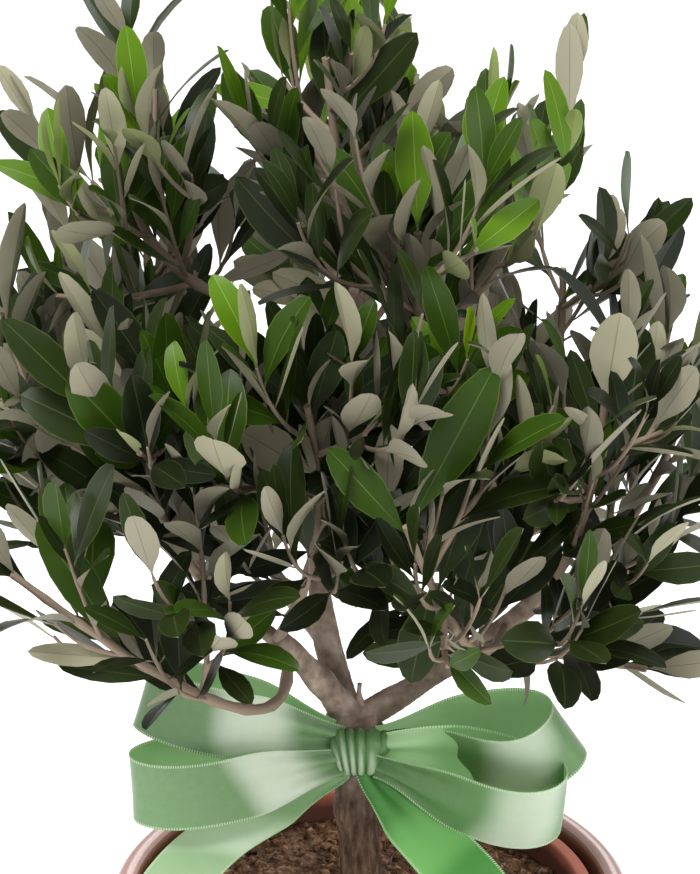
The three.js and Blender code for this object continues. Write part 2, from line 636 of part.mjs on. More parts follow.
// A side twig: leaves its stem at an angle and curves towards the light, shortened until it stays in its space.
function twigCurve(root, heading, wanted, name) {
  for (let length = wanted; length > TWIG_SHORTEST; length *= 0.86) {
    const middle = root.clone().addScaledVector(heading, length * 0.45);
    const rise = heading.clone().lerp(towardsLight(middle), 0.45).normalize();
    const tip = middle.clone().addScaledVector(rise, length * 0.55);
    const curve = new THREE.QuadraticBezierCurve3(root, middle, tip);
    const stays = [0.4, 0.6, 0.8, 1].every((along) => {
      const point = curve.getPointAt(along);
      return inSpace(point, name, 4 * TWIG_RADIUS, TWIG_DEPTH) && offLimbs(point, name, 2 * TWIG_RADIUS);
    });
    if (stays) return curve;
  }
  return null;
}

function rememberWood(curve, steps) {
  for (let i = 0; i < steps; i++) {
    woodPieces.push({ start: curve.getPointAt(i / steps), end: curve.getPointAt((i + 1) / steps), curve });
  }
  return curve;
}

// The wood of a mass: its stem, and the side twigs that leave the stem in turn round it.
function woodOf(name, index) {
  const random = numbersFrom(4001 + 97 * index);
  const stem = rememberWood(curves[name], 5);
  const turn = random() * Math.PI;
  const twigs = [];
  for (let i = 0; i < MASSES[name].twigs; i++) {
    const along = mix(0.22, 0.92, (i + 0.4 * random()) / MASSES[name].twigs);
    const angle = degrees(TWIG_ANGLE + (random() - 0.5) * 16);
    const heading = standingOff(stem.getTangentAt(along), vec(0.2, 0.5, 0.84), turn + i * degrees(137.5), angle);
    const twig = twigCurve(stem.getPointAt(along), heading, TWIG_LENGTH * (0.85 + 0.3 * random()), name);
    if (twig) twigs.push(rememberWood(twig, 2));
  }
  return { name, random, stem, twigs };
}

// Whether every edge of a solid still joins two faces once its vertices closer than MERGE are made one.
function isSound(solid) {
  const merged = mergeVertices(geometryOf(solid), MERGE).index.array;
  const uses = new Map();
  for (let i = 0; i < merged.length; i += 3) {
    const corners = [merged[i], merged[i + 1], merged[i + 2]];
    if (new Set(corners).size < 3) continue;
    for (let k = 0; k < 3; k++) {
      const [low, high] = [corners[k], corners[(k + 1) % 3]].sort((one, other) => one - other);
      const edge = low * 1e6 + high;
      uses.set(edge, (uses.get(edge) ?? 0) + 1);
    }
  }
  return [...uses.values()].every((count) => count === 2);
}

// A mass of foliage: its wood cut clear of the limbs, with each leaf that joins it soundly and misses the limbs.
function foliage({ name, random, stem, twigs }) {
  const foot = Math.min(2.1, limbRadius(MASSES[name].on, MASSES[name].at) - 0.1);
  const wood = [tube(stem, 4, 5, (along) => mix(foot, TWIG_RADIUS, along))];
  const leaves = leavesOn(stem, TWIG_RADIUS, name, random, 0.5);
  for (const twig of twigs) {
    wood.push(tube(twig, 3, 2, (along) => TWIG_RADIUS * mix(1, TWIG_TAPER, along)));
    leaves.push(...leavesOn(twig, TWIG_RADIUS, name, random));
  }
  let whole = largestBody(wasm.Manifold.union(wood.map(solidOf)).subtract(allLimbs));
  for (const leaf of leaves.map(solidOf)) {
    const joined = whole.add(leaf);
    if (leaf.intersect(allLimbs).isEmpty() && joined.decompose().length === 1 && isSound(joined)) whole = joined;
  }
  return whole;
}

const tree = new THREE.Group();

function addMesh(name, geometry, material) {
  const mesh = new THREE.Mesh(geometry, material);
  mesh.name = name;
  tree.add(mesh);
}

addMesh("planter", planter(), GLAZE);
addMesh("grow_pot", growPot(), TERRACOTTA);
addMesh("soil", soil(), EARTH);
addMesh("trunk", geometryOf(trunk()), BARK);
for (const name of Object.keys(LIMBS)) addMesh(name, geometryOf(limb(name)), BARK);

// Each piece of ribbon is cut clear of those inside it: the band of the limbs, and the knot of the band.
const band = largestBody(bandSolid().subtract(allLimbs));
const knot = largestBody(knotSolid().subtract(bandSolid(SEAT_GAP)).subtract(allLimbs));
addMesh("ribbon_band", geometryOf(band), SATIN);
addMesh("ribbon_knot", geometryOf(knot), SATIN);
const ribbonCutters = [knotSolid(SEAT_GAP), bandSolid(SEAT_GAP), ...Object.values(grownLimbs)];
const cutClear = (solid) => largestBody(ribbonCutters.reduce((rest, cutter) => rest.subtract(cutter), solid));
for (const name of Object.keys(LOOPS)) addMesh(name, geometryOf(cutClear(loopSolid(name))), SATIN);
for (const name of Object.keys(TAILS)) addMesh(name, geometryOf(cutClear(tailSolid(name))), SATIN);

for (const wood of Object.keys(MASSES).map(woodOf)) addMesh(wood.name, geometryOf(foliage(wood)), FOLIAGE);

export default tree;
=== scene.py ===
"""A young olive tree in its grow pot, stood in a glazed planter, with a satin bow tied at its fork.

The plant grows here by the rule of its solids: limbs, the stem of each mass of foliage, side twigs, and then
finer shoots and leaves within the same reach. Sizes and places are in millimetres, in the frame's axes, and
become metres when a mesh is made.
"""

import logging
import math
from dataclasses import dataclass, field
from enum import Enum
from functools import partial
from itertools import product
from typing import Callable, ClassVar, Iterable, Sequence

import bmesh
import bpy
import numpy as np
from mathutils import Matrix, Quaternion, Vector, geometry, kdtree, noise


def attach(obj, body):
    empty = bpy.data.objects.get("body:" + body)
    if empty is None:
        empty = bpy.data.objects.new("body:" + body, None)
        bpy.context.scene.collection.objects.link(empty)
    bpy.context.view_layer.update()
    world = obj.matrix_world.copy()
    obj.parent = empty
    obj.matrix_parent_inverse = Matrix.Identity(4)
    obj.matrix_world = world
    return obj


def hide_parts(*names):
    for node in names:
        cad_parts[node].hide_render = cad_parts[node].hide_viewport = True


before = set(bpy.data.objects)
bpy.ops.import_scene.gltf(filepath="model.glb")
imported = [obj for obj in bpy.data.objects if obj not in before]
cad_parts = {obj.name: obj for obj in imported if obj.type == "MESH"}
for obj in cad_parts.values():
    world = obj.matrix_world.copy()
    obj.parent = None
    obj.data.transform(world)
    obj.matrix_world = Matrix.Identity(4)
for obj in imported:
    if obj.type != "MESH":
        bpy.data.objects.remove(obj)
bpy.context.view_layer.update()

logging.basicConfig(level=logging.INFO, format="%(message)s")
LOG = logging.getLogger("olive_tree")

MM = 0.001
BODY = "root"
CLOTH = "weave"
TURN = 2 * math.pi
# The turn from one twig to the next up a stem.
TWIG_TURN = math.radians(137.5)


class Value:
    """A socket of a node tree whose arithmetic adds Math nodes."""

    def __init__(self, shader: "Shader", socket: bpy.types.NodeSocket) -> None:
        """Wraps one output socket of a shader's tree."""
        self.shader = shader
        self.socket = socket

    def _math(self, operation: str, first: "Value | float", second: "Value | float") -> "Value":
        """Adds one Math node and gives its output."""
        return self.shader.node("ShaderNodeMath", {"operation": operation}, {0: first, 1: second})

    def __add__(self, other: "Value | float") -> "Value":
        """Gives self + other."""
        return self._math("ADD", self, other)

    def __radd__(self, other: float) -> "Value":
        """Gives other + self."""
        return self._math("ADD", other, self)

    def __sub__(self, other: "Value | float") -> "Value":
        """Gives self - other."""
        return self._math("SUBTRACT", self, other)

    def __rsub__(self, other: float) -> "Value":
        """Gives other - self."""
        return self._math("SUBTRACT", other, self)

    def __mul__(self, other: "Value | float") -> "Value":
        """Gives self * other."""
        return self._math("MULTIPLY", self, other)

    def __rmul__(self, other: float) -> "Value":
        """Gives other * self."""
        return self._math("MULTIPLY", other, self)


Colour = tuple[float, float, float]
Stops = tuple[tuple[float, Colour], ...]


class Shader:
    """One material and the node tree behind it."""

    def __init__(self, name: str, **constants: float | Colour) -> None:
        """Starts a material with a Principled surface.

        Args:
            name: the material's name.
            constants: values of the surface's own sockets, with spaces written as underscores.
        """
        self.material = bpy.data.materials.new(name)
        self.material.use_nodes = True
        self.tree = self.material.node_tree
        self.surface = next(node for node in self.tree.nodes if node.type == "BSDF_PRINCIPLED")
        for key, value in constants.items():
            self.put(self.surface.inputs[key.replace("_", " ")], value)

    def put(self, socket: bpy.types.NodeSocket, value: "Value | float | Sequence[float]") -> None:
        """Links a value to a socket, or sets the socket.

        Args:
            socket: an input socket.
            value: the value to link, or the number, colour or vector to set.
        """
        if isinstance(value, Value):
            self.tree.links.new(value.socket, socket)
        elif isinstance(value, (int, float)):
            socket.default_value = value
        else:
            full = len(socket.default_value)
            socket.default_value = (*value, 1.0) if full == len(value) + 1 else tuple(value)

    def node(
        self, kind: str, settings: dict | None = None, inputs: dict | None = None, output: int | str = 0
    ) -> Value:
        """Adds a node.

        Args:
            kind: the node's type.
            settings: its properties, or a ramp's stops under the key stops, which are set first.
            inputs: values or links by socket name or number.
            output: the name or number of the output that is wanted.

        Returns:
            The output.
        """
        node = self.tree.nodes.new(kind)
        for key, value in (settings or {}).items():
            if key == "stops":
                self._ramp(node, value)
            else:
                setattr(node, key, value)
        for key, value in (inputs or {}).items():
            self.put(node.inputs[key], value)
        return Value(self, node.outputs[output])

    @staticmethod
    def _ramp(node: bpy.types.Node, stops: Stops) -> None:
        """Gives a colour ramp its stops.

        Args:
            node: the ramp's node.
            stops: places from 0 to 1 with their colours.
        """
        elements = node.color_ramp.elements
        while len(elements) < len(stops):
            elements.new(0.5)
        for element, (place, colour) in zip(elements, stops):
            element.position = place
            element.color = (*colour, 1.0)

    def place(self, scale: Colour = (1, 1, 1)) -> Value:
        """Object coordinates in metres, scaled along each axis."""
        source = self.node("ShaderNodeTexCoord", output="Object")
        return self.node("ShaderNodeMapping", None, {"Vector": source, "Scale": scale})

    def weave(self) -> tuple[Value, Value]:
        """The piece's own map: across it and along it, in metres."""
        place = self.node("ShaderNodeUVMap", {"uv_map": CLOTH})
        across = self.node("ShaderNodeSeparateXYZ", None, {0: place})
        return across, Value(self, across.socket.node.outputs[1])

    def height(self) -> Value:
        """The place's height above the table, in metres."""
        return self.node("ShaderNodeSeparateXYZ", None, {0: self.place()}, 2)

    def noise(self, place: Value, per_metre: float, detail: float, roughness: float = 0.55) -> Value:
        """A noise pattern from 0 to 1, with a feature about every 1 / per_metre metres."""
        inputs = {"Vector": place, "Scale": per_metre, "Detail": detail, "Roughness": roughness}
        return self.node("ShaderNodeTexNoise", None, inputs)

    def size(self, value: Value) -> Value:
        """A value without its sign."""
        return self.node("ShaderNodeMath", {"operation": "ABSOLUTE"}, {0: value})

    def wave(self, value: Value, per_metre: float) -> Value:
        """A wave from 0 to 1 that repeats per_metre times in a metre."""
        return self.node("ShaderNodeMath", {"operation": "SINE"}, {0: value * (per_metre * TURN)}) * 0.5 + 0.5

    def step(self, value: Value, low: float, high: float) -> Value:
        """A smooth rise from 0 at low to 1 at high."""
        inputs = {"Value": value, "From Min": low, "From Max": high}
        return self.node("ShaderNodeMapRange", {"interpolation_type": "SMOOTHSTEP"}, inputs)

    def ramp(self, value: Value, stops: Stops) -> Value:
        """The colour that a ramp gives for a value."""
        return self.node("ShaderNodeValToRGB", {"stops": stops}, {0: value})

    def blend(self, share: Value, first: Value | Colour, second: Value | Colour) -> Value:
        """Mixes two colours by a share."""
        return self.node("ShaderNodeMix", {"data_type": "RGBA"}, {0: share, 6: first, 7: second}, 2)

    def wear(self, colour: Value, roughness: Value, relief: Value, depth: float) -> bpy.types.Material:
        """Feeds the surface its varying inputs.

        Args:
            colour: its base colour.
            roughness: its roughness.
            relief: the height of its relief, from 0 to 1.
            depth: how far the relief stands up, in metres.

        Returns:
            The finished material.
        """
        self.put(self.surface.inputs["Base Color"], colour)
        self.put(self.surface.inputs["Roughness"], roughness)
        bump = self.node("ShaderNodeBump", None, {"Strength": 1.0, "Distance": depth, "Height": relief})
        self.put(self.surface.inputs["Normal"], bump)
        return self.material


class Finish:
    """A finish that a piece can wear: its dress method makes the material once."""

    def dress(self) -> bpy.types.Material:
        """Makes the finish's material."""
        raise NotImplementedError


@dataclass(frozen=True)
class Glaze(Finish):
    """Glossy pinkish cream glaze, or the darker brown inside the planter, which is partly a browner coat and
    partly painted shade.
    """

    name: str = "glaze_cream"
    light: Colour = (0.56, 0.365, 0.325)
    deep: Colour = (0.44, 0.255, 0.21)
    speck: Colour = (0.36, 0.24, 0.2)
    ripple: float = 0.0005

    def dress(self) -> bpy.types.Material:
        """Makes the glaze with soft clouding, pinholes and a slow ripple.

        Returns:
            The material.
        """
        shader = Shader(self.name, Coat_Weight=0.45, Coat_Roughness=0.08, IOR=1.5)
        place = shader.place()
        cloud = shader.noise(place, 28, 4)
        pinholes = shader.step(shader.noise(place, 900, 2), 0.66, 0.74)
        colour = shader.blend(cloud, self.light, self.deep)
        colour = shader.blend(pinholes * 0.35, colour, self.speck)
        return shader.wear(colour, 0.2 + 0.12 * cloud, shader.noise(place, 75, 2), self.ripple)


@dataclass(frozen=True)
class Terracotta(Finish):
    """The grow pot's salmon terracotta colour, matt and finely grained, and darker below a height just under
    its rim.
    """

    name: str = "terracotta"
    light: Colour = (0.52, 0.175, 0.115)
    deep: Colour = (0.42, 0.12, 0.073)
    under_rim_dark: Colour = (0.06, 0.024, 0.013)
    dark_below: float = 0.1585
    dark_fade: float = 0.006
    relief: float = 0.00012

    def dress(self) -> bpy.types.Material:
        """Makes the finish, which turns darker below a height just under its rim.

        Returns:
            The material.
        """
        shader = Shader(self.name, IOR=1.45)
        place = shader.place()
        cloud = shader.noise(place, 60, 4)
        grain = shader.noise(place, 1400, 2)
        plain_tone = shader.blend(cloud, self.light, self.deep)
        # Darker below a height just under the rim, with a cloudy edge.
        depth = self.dark_below - shader.height() + self.dark_fade * cloud
        darkened = shader.step(depth, 0.0, self.dark_fade)
        colour = shader.blend(darkened * 0.85, plain_tone, self.under_rim_dark)
        return shader.wear(colour, 0.62 + 0.2 * grain, grain, self.relief)


@dataclass(frozen=True)
class Earth(Finish):
    """Moist brown compost, mottled from black-brown to tan, and lifted in lightness where it is crumbs."""

    name: str = "compost"
    lift: float = 1.0
    tones: Stops = ((0.38, (0.028, 0.013, 0.007)), (0.5, (0.165, 0.084, 0.044)), (0.64, (0.45, 0.28, 0.17)))
    relief: float = 0.0007

    def dress(self) -> bpy.types.Material:
        """Makes the compost's colour from coarse and fine mottling.

        Returns:
            The material.
        """
        shader = Shader(self.name, IOR=1.35)
        place = shader.place()
        mottle = shader.noise(place, 330, 5, 0.65) * 0.65 + shader.noise(place, 75, 3, 0.6) * 0.35
        tones = tuple((at, tuple(part * self.lift for part in colour)) for at, colour in self.tones)
        colour = shader.ramp(mottle, tones)
        return shader.wear(colour, 0.8 + 0.2 * mottle, shader.noise(place, 900, 4), self.relief)


@dataclass(frozen=True)
class Bark(Finish):
    """Bark: brown and cracked on the trunk, smoother and pinkish grey from the fork up."""

    name: str = "bark"
    trunk: Stops = ((0.37, (0.035, 0.018, 0.011)), (0.5, (0.13, 0.076, 0.047)), (0.65, (0.3, 0.2, 0.14)))
    bough: Stops = ((0.34, (0.17, 0.12, 0.09)), (0.5, (0.32, 0.24, 0.19)), (0.66, (0.5, 0.4, 0.33)))
    pore: Colour = (0.09, 0.06, 0.045)
    change: tuple[float, float] = (0.2, 0.242)
    relief: float = 0.0006

    def dress(self) -> bpy.types.Material:
        """Makes the bark, which changes from trunk to bough with height.

        Returns:
            The material.
        """
        shader = Shader(self.name, IOR=1.4)
        patch = shader.noise(shader.place(), 110, 4)
        streak = shader.noise(shader.place((1, 1, 0.2)), 420, 5, 0.6) * 0.7 + patch * 0.3
        trunk = shader.ramp(streak, self.trunk)
        bough = shader.ramp(patch, self.bough)
        rise = shader.step(shader.height() + 0.02 * patch, *self.change)
        pores = shader.step(shader.noise(shader.place(), 1500, 2), 0.62, 0.72)
        colour = shader.blend(rise, trunk, bough)
        colour = shader.blend(pores * 0.4, colour, self.pore)
        return shader.wear(colour, 0.72 + 0.2 * patch, streak * 0.7 + 0.3 * patch, self.relief)


@dataclass(frozen=True)
class Satin(Finish):
    """Pale green satin: fine threads along the ribbon and a stitched selvedge at both its edges.

    A painted highlight comes and goes along the ribbon in a wave, its pale colour blended into the base
    colour, with a crest at the start of the ribbon's map. Emission, where set, is painted light, as if
    shining through the thin satin.
    """

    name: str = "satin_face"
    body: Colour = (0.075, 0.2, 0.045)
    # The pale colour of the painted highlight.
    painted_highlight: Colour = (0.5, 0.6, 0.45)
    roughness: float = 0.34
    # Emission strength: painted light, as if shining through the satin.
    glow: float = 0.0
    painted_glow_colour: Colour = (0.42, 0.76, 0.33)
    stitch: Colour = (0.55, 0.7, 0.46)
    half_width: float = 0.0125
    selvedge: tuple[float, float] = (0.915, 0.94)
    crests_per_metre: float = 11.1
    quarter_wave: float = 0.0225
    relief: float = 0.00006

    def dress(self) -> bpy.types.Material:
        """Makes the satin from the ribbon's own map.

        Returns:
            The material.
        """
        # The emission is painted light, not a lamp.
        light = {"Emission_Color": self.painted_glow_colour, "Emission_Strength": self.glow}
        gloss = {"IOR": 1.55, "Specular_IOR_Level": 0.55}
        shader = Shader(self.name, Sheen_Weight=0.12, Sheen_Roughness=0.35, **gloss, **light)
        across, along = shader.weave()
        threads = shader.noise(shader.place(), 350, 2)
        drift = shader.noise(shader.place(), 26, 1)
        # The wave places the painted highlight: the colour turns pale near each crest.
        phase = along + across * 0.4 + (drift - 0.5) * 0.02 + self.quarter_wave
        wave = shader.wave(phase, self.crests_per_metre)
        edge = shader.size(across)
        selvedge = shader.step(edge, *(self.half_width * share for share in self.selvedge))
        stitches = shader.step(shader.wave(along, 1100), 0.35, 0.65) * selvedge
        colour = shader.blend(shader.step(wave, 0.58, 1) * 0.9 + threads * 0.1, self.body, self.painted_highlight)
        colour = shader.blend(stitches * 0.8, colour, self.stitch)
        rib = shader.wave(across, 2600)
        return shader.wear(colour, self.roughness + 0.25 * selvedge, rib * 0.5 + stitches, self.relief)


@dataclass(frozen=True)
class Paint(Finish):
    """A plain colour with its gloss, for the many small leaves and twigs."""

    name: str
    colour: Colour
    roughness: float = 0.5
    gloss: float = 0.3

    def dress(self) -> bpy.types.Material:
        """Makes the plain material."""
        sockets = {"Base_Color": self.colour, "Roughness": self.roughness, "Specular_IOR_Level": self.gloss}
        return Shader(self.name, **sockets).material


class Tone(Enum):
    """How a leaf is coloured, from old to young: its upper face, rib, underface and under rib. The young
    tones' paler greens are partly painted light, standing for light shining through backlit leaves.
    """

    DEEP = ((0.009, 0.014, 0.004), (0.03, 0.042, 0.01), (0.23, 0.215, 0.155), (0.14, 0.13, 0.085))
    DARK = ((0.017, 0.03, 0.005), (0.048, 0.072, 0.013), (0.3, 0.28, 0.2), (0.19, 0.175, 0.115))
    GREEN = ((0.027, 0.06, 0.004), (0.072, 0.118, 0.015), (0.33, 0.315, 0.21), (0.22, 0.21, 0.125))
    # Partly painted light: the fresh and bright greens also stand for light shining through backlit young
    # leaves.
    FRESH = ((0.078, 0.165, 0.005), (0.15, 0.235, 0.03), (0.27, 0.29, 0.14), (0.19, 0.21, 0.08))
    BRIGHT = ((0.2, 0.33, 0.005), (0.34, 0.45, 0.06), (0.28, 0.35, 0.11), (0.22, 0.28, 0.06))


class Numbers:
    """A repeatable source of numbers from 0 to 1, the same as the solids use."""

    STEP = 0x6D2B79F5
    WORD = 0xFFFFFFFF

    def __init__(self, seed: int) -> None:
        """Starts the source from a whole number."""
        self.state = seed & self.WORD

    @classmethod
    def of(cls, seeds: tuple[int, int], index: int) -> "Numbers":
        """The source of one of many like things, from a first seed and the step to the next."""
        return cls(seeds[0] + seeds[1] * index)

    def next(self) -> float:
        """Gives the next number.

        Returns:
            A number from 0 to 1.
        """
        self.state = (self.state + self.STEP) & self.WORD
        mixed = ((self.state ^ (self.state >> 15)) * (1 | self.state)) & self.WORD
        mixed = ((mixed + (((mixed ^ (mixed >> 7)) * (61 | mixed)) & self.WORD)) & self.WORD) ^ mixed
        return (mixed ^ (mixed >> 14)) / (self.WORD + 1)

    def between(self, low: float, high: float) -> float:
        """Gives a number from low to high."""
        return low + (high - low) * self.next()


def v(x: float, y: float, z: float) -> Vector:
    """A place or a direction."""
    return Vector((x, y, z))


def squared(direction: Vector, axis: Vector) -> Vector:
    """The unit vector nearest to a direction that is square to an axis."""
    return (direction - axis * direction.dot(axis)).normalized()


def mix(first: float, second: float, share: float) -> float:
    """Gives the number a share of the way from first to second."""
    return first + (second - first) * share


def ease(value: float, low: float, high: float) -> float:
    """Gives a smooth rise from 0 at low to 1 at high."""
    share = min(1.0, max(0.0, (value - low) / (high - low)))
    return share * share * (3 - 2 * share)


class Path:
    """A curve through space, on which a share from 0 to 1 is a share of its length."""

    STEPS = 48

    def __init__(self, curve: Callable[[float], Vector]) -> None:
        """Samples the curve.

        Args:
            curve: the place for each number from 0 to 1.
        """
        self.points = [curve(i / self.STEPS) for i in range(self.STEPS + 1)]
        self.runs = [0.0]
        for start, end in zip(self.points, self.points[1:]):
            self.runs.append(self.runs[-1] + (end - start).length)
        self.length = self.runs[-1]

    @classmethod
    def bowed(cls, start: Vector, tip: Vector, bend: Vector) -> "Path":
        """The quadratic curve from start to tip whose middle is pushed aside by bend."""
        control = (start + tip) / 2 + bend * 2
        return cls.bent(start, control, tip)

    @classmethod
    def bent(cls, start: Vector, control: Vector, tip: Vector) -> "Path":
        """The quadratic curve with these three points."""
        return cls(lambda t: start * (1 - t) ** 2 + control * (2 * t * (1 - t)) + tip * t**2)

    @classmethod
    def through(cls, points: Sequence[Vector]) -> "Path":
        """A smooth curve through points.

        Args:
            points: the points, of which each takes the same share of the curve's own parameter.

        Returns:
            The curve.
        """
        ends = [points[0] * 2 - points[1], *points, points[-1] * 2 - points[-2]]
        spans = len(points) - 1

        def place(t: float) -> Vector:
            """The place on the spline.

            Args:
                t: the spline's parameter, from 0 to 1.

            Returns:
                The place.
            """
            span = min(int(t * spans), spans - 1)
            share = t * spans - span
            a, b, c, d = ends[span : span + 4]
            square = a * 2 - b * 5 + c * 4 - d
            cube = b * 3 - a - c * 3 + d
            return (b * 2 + (c - a) * share + square * share**2 + cube * share**3) / 2

        return cls(place)

    def at(self, share: float) -> Vector:
        """The place at a share of the length.

        Args:
            share: the share, from 0 to 1.

        Returns:
            The place.
        """
        run = min(1.0, max(0.0, share)) * self.length
        i = min(int(np.searchsorted(self.runs, run, side="right")) - 1, self.STEPS - 1)
        span = self.runs[i + 1] - self.runs[i]
        return self.points[i].lerp(self.points[i + 1], (run - self.runs[i]) / span if span else 0.0)

    def heading(self, share: float) -> Vector:
        """The direction in which the curve runs at a share of the length."""
        return (self.at(share + 0.01) - self.at(share - 0.01)).normalized()

    def frames(self, steps: int) -> list[tuple[Vector, Vector, Vector]]:
        """Places along the curve with two directions across it that turn as little as they can.

        Args:
            steps: how many spans the curve is cut into.

        Returns:
            The place and its two directions, for each end of a span.
        """
        heading = self.heading(0)
        side = heading.orthogonal().normalized()
        found = []
        for i in range(steps + 1):
            turned = self.heading(i / steps)
            side = heading.rotation_difference(turned) @ side
            heading = turned
            found.append((self.at(i / steps), side.copy(), heading.cross(side)))
        return found


Worn = Sequence[Finish | bpy.types.Material]


def new_piece(name: str, mesh: bpy.types.Mesh, worn: Worn, stands_for: Sequence[str]) -> None:
    """Makes a mesh a piece of the object.

    Args:
        name: the piece's name.
        mesh: its mesh, in metres.
        worn: what its material slots wear, as finishes or as materials made from them.
        stands_for: the solids that it replaces.
    """
    mesh.name = name
    piece = bpy.data.objects.new(name, mesh)
    bpy.context.scene.collection.objects.link(piece)
    for finish in worn:
        mesh.materials.append(finish if isinstance(finish, bpy.types.Material) else finish.dress())
    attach(piece, BODY)
    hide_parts(*stands_for)
    LOG.info("%s: %d faces", name, len(mesh.polygons))


def finish_mesh(work: bmesh.types.BMesh, sharp: float | None = None) -> bpy.types.Mesh:
    """Turns a bmesh in millimetres into a smoothly shaded mesh in metres, with its faces outwards.

    Args:
        work: the bmesh, which is freed.
        sharp: the angle in degrees past which an edge stays sharp.

    Returns:
        The mesh.
    """
    bmesh.ops.recalc_face_normals(work, faces=work.faces)
    bmesh.ops.scale(work, vec=(MM, MM, MM), verts=work.verts)
    mesh = bpy.data.meshes.new("mesh")
    work.to_mesh(mesh)
    work.free()
    mesh.polygons.foreach_set("use_smooth", [True] * len(mesh.polygons))
    if sharp is not None:
        mesh.set_sharp_from_angle(angle=math.radians(sharp))
    return mesh


Spot = tuple[float, float]


def turned(profile: Sequence[Spot], sides: int) -> bmesh.types.BMesh:
    """Spins a profile round the upright axis.

    Args:
        profile: pairs of radius and height, from the axis under the piece to the axis above it.
        sides: how many steps the spin takes.

    Returns:
        The closed bmesh.
    """
    work = bmesh.new()
    points = [work.verts.new((radius, 0, height)) for radius, height in profile]
    edges = [work.edges.new(pair) for pair in zip(points, points[1:])]
    course = {"cent": (0, 0, 0), "axis": (0, 0, 1), "angle": TURN, "steps": sides}
    bmesh.ops.spin(work, geom=points + edges, use_merge=True, use_duplicate=False, **course)
    bmesh.ops.remove_doubles(work, verts=work.verts, dist=1e-4)
    return work


def rounded(centre: Spot, radius: float, start: float, end: float, steps: int) -> list[Spot]:
    """Points on an arc of a profile, from one angle in degrees to another."""
    angles = [math.radians(mix(start, end, i / steps)) for i in range(steps + 1)]
    return [(centre[0] + radius * math.cos(a), centre[1] + radius * math.sin(a)) for a in angles]


def sloped(start: Spot, end: Spot, steps: int) -> list[Spot]:
    """Points on a straight stretch of a profile, without its first."""
    return [(mix(start[0], end[0], i / steps), mix(start[1], end[1], i / steps)) for i in range(1, steps + 1)]


def upright(edge: bmesh.types.BMEdge) -> bool:
    """Whether an edge of a new cylinder runs up its side."""
    return abs(edge.verts[0].co.z - edge.verts[1].co.z) > 0.5


Girth = Callable[[float, float], float]


def add_tube(work: bmesh.types.BMesh, path: Path, sides: int, steps: int, radius: Girth) -> None:
    """Adds a closed tube along a path.

    Args:
        work: the bmesh that it is added to.
        path: its centre line.
        sides: faces round it.
        steps: faces along it.
        radius: its radius for a share of its length and an angle round it.
    """
    before = len(work.verts)
    made = bmesh.ops.create_cone(work, cap_ends=True, segments=sides, radius1=1, radius2=1, depth=1)["verts"]
    edges = {edge for vert in made for edge in vert.link_edges if upright(edge)}
    bmesh.ops.subdivide_edges(work, edges=list(edges), cuts=steps - 1, use_grid_fill=True)
    work.verts.ensure_lookup_table()
    frames = path.frames(steps)
    for vert in work.verts[before:]:
        step = round((vert.co.z + 0.5) * steps)
        place, side, other = frames[step]
        reach = radius(step / steps, math.atan2(vert.co.y, vert.co.x))
        vert.co = place + side * (vert.co.x * reach) + other * (vert.co.y * reach)


@dataclass
class Planter:
    """The glazed planter: a tapering pot with a thick rolled rim."""

    height: float = 165
    rim: float = 97
    foot: float = 68
    lip: float = 9
    lip_depth: float = 22
    lip_round: float = 4.4
    tuck: float = 3.5
    waist_height: float = 0.4
    waist_width: float = 0.62
    foot_round: float = 2
    wall: float = 6
    floor: float = 8
    sides: int = 160

    def build(self) -> None:
        """Turns the planter, with a darker brown glaze on its inner wall that is partly a browner coat and
        partly painted shade.
        """
        throat = self.rim - self.lip
        body = self.rim - self.tuck
        low = self.height - self.lip_depth
        curve, roll = self.foot_round, self.lip_round
        foot = (self.foot, curve)
        waist = (mix(self.foot, body, self.waist_width), self.height * self.waist_height)
        neck = (body, low - 3)
        profile = [(0, 0), (self.foot - curve, 0)]
        profile += rounded((self.foot - curve, curve), curve, -90, 0, 4)[1:]
        profile += sloped(foot, waist, 4) + sloped(waist, neck, 4)
        profile += [(self.rim - 1.6, low - 0.6), (self.rim - 0.4, low + 1.6), (self.rim, low + 5)]
        profile += rounded((self.rim - roll, self.height - roll), roll, 0, 180, 14)
        profile += [(throat, self.height - self.lip), (throat - 0.6, low)]
        profile += [(radius - self.wall, height) for radius, height in sloped(neck, waist, 4)]
        profile += [(self.foot - self.wall, self.floor + 3), (self.foot - self.wall - 3, self.floor)]
        work = turned([*profile, (0, self.floor)], self.sides)
        for face in work.faces:
            middle = face.calc_center_median()
            out = math.hypot(middle.x, middle.y)
            inside = out < throat + 1.2 and middle.z > self.floor - 1
            outside = out > mix(self.foot, body, middle.z / self.height) - self.wall / 2
            face.material_index = int(inside and not outside)
        # The inner wall's dark brown is partly a browner coat and partly painted shade, the shade inside the
        # planter.
        coats = [Glaze(), Glaze("glaze_inner_coat_and_shade", (0.26, 0.125, 0.08), (0.16, 0.07, 0.042))]
        new_piece("planter_glazed", finish_mesh(work, sharp=70), coats, ["planter"])


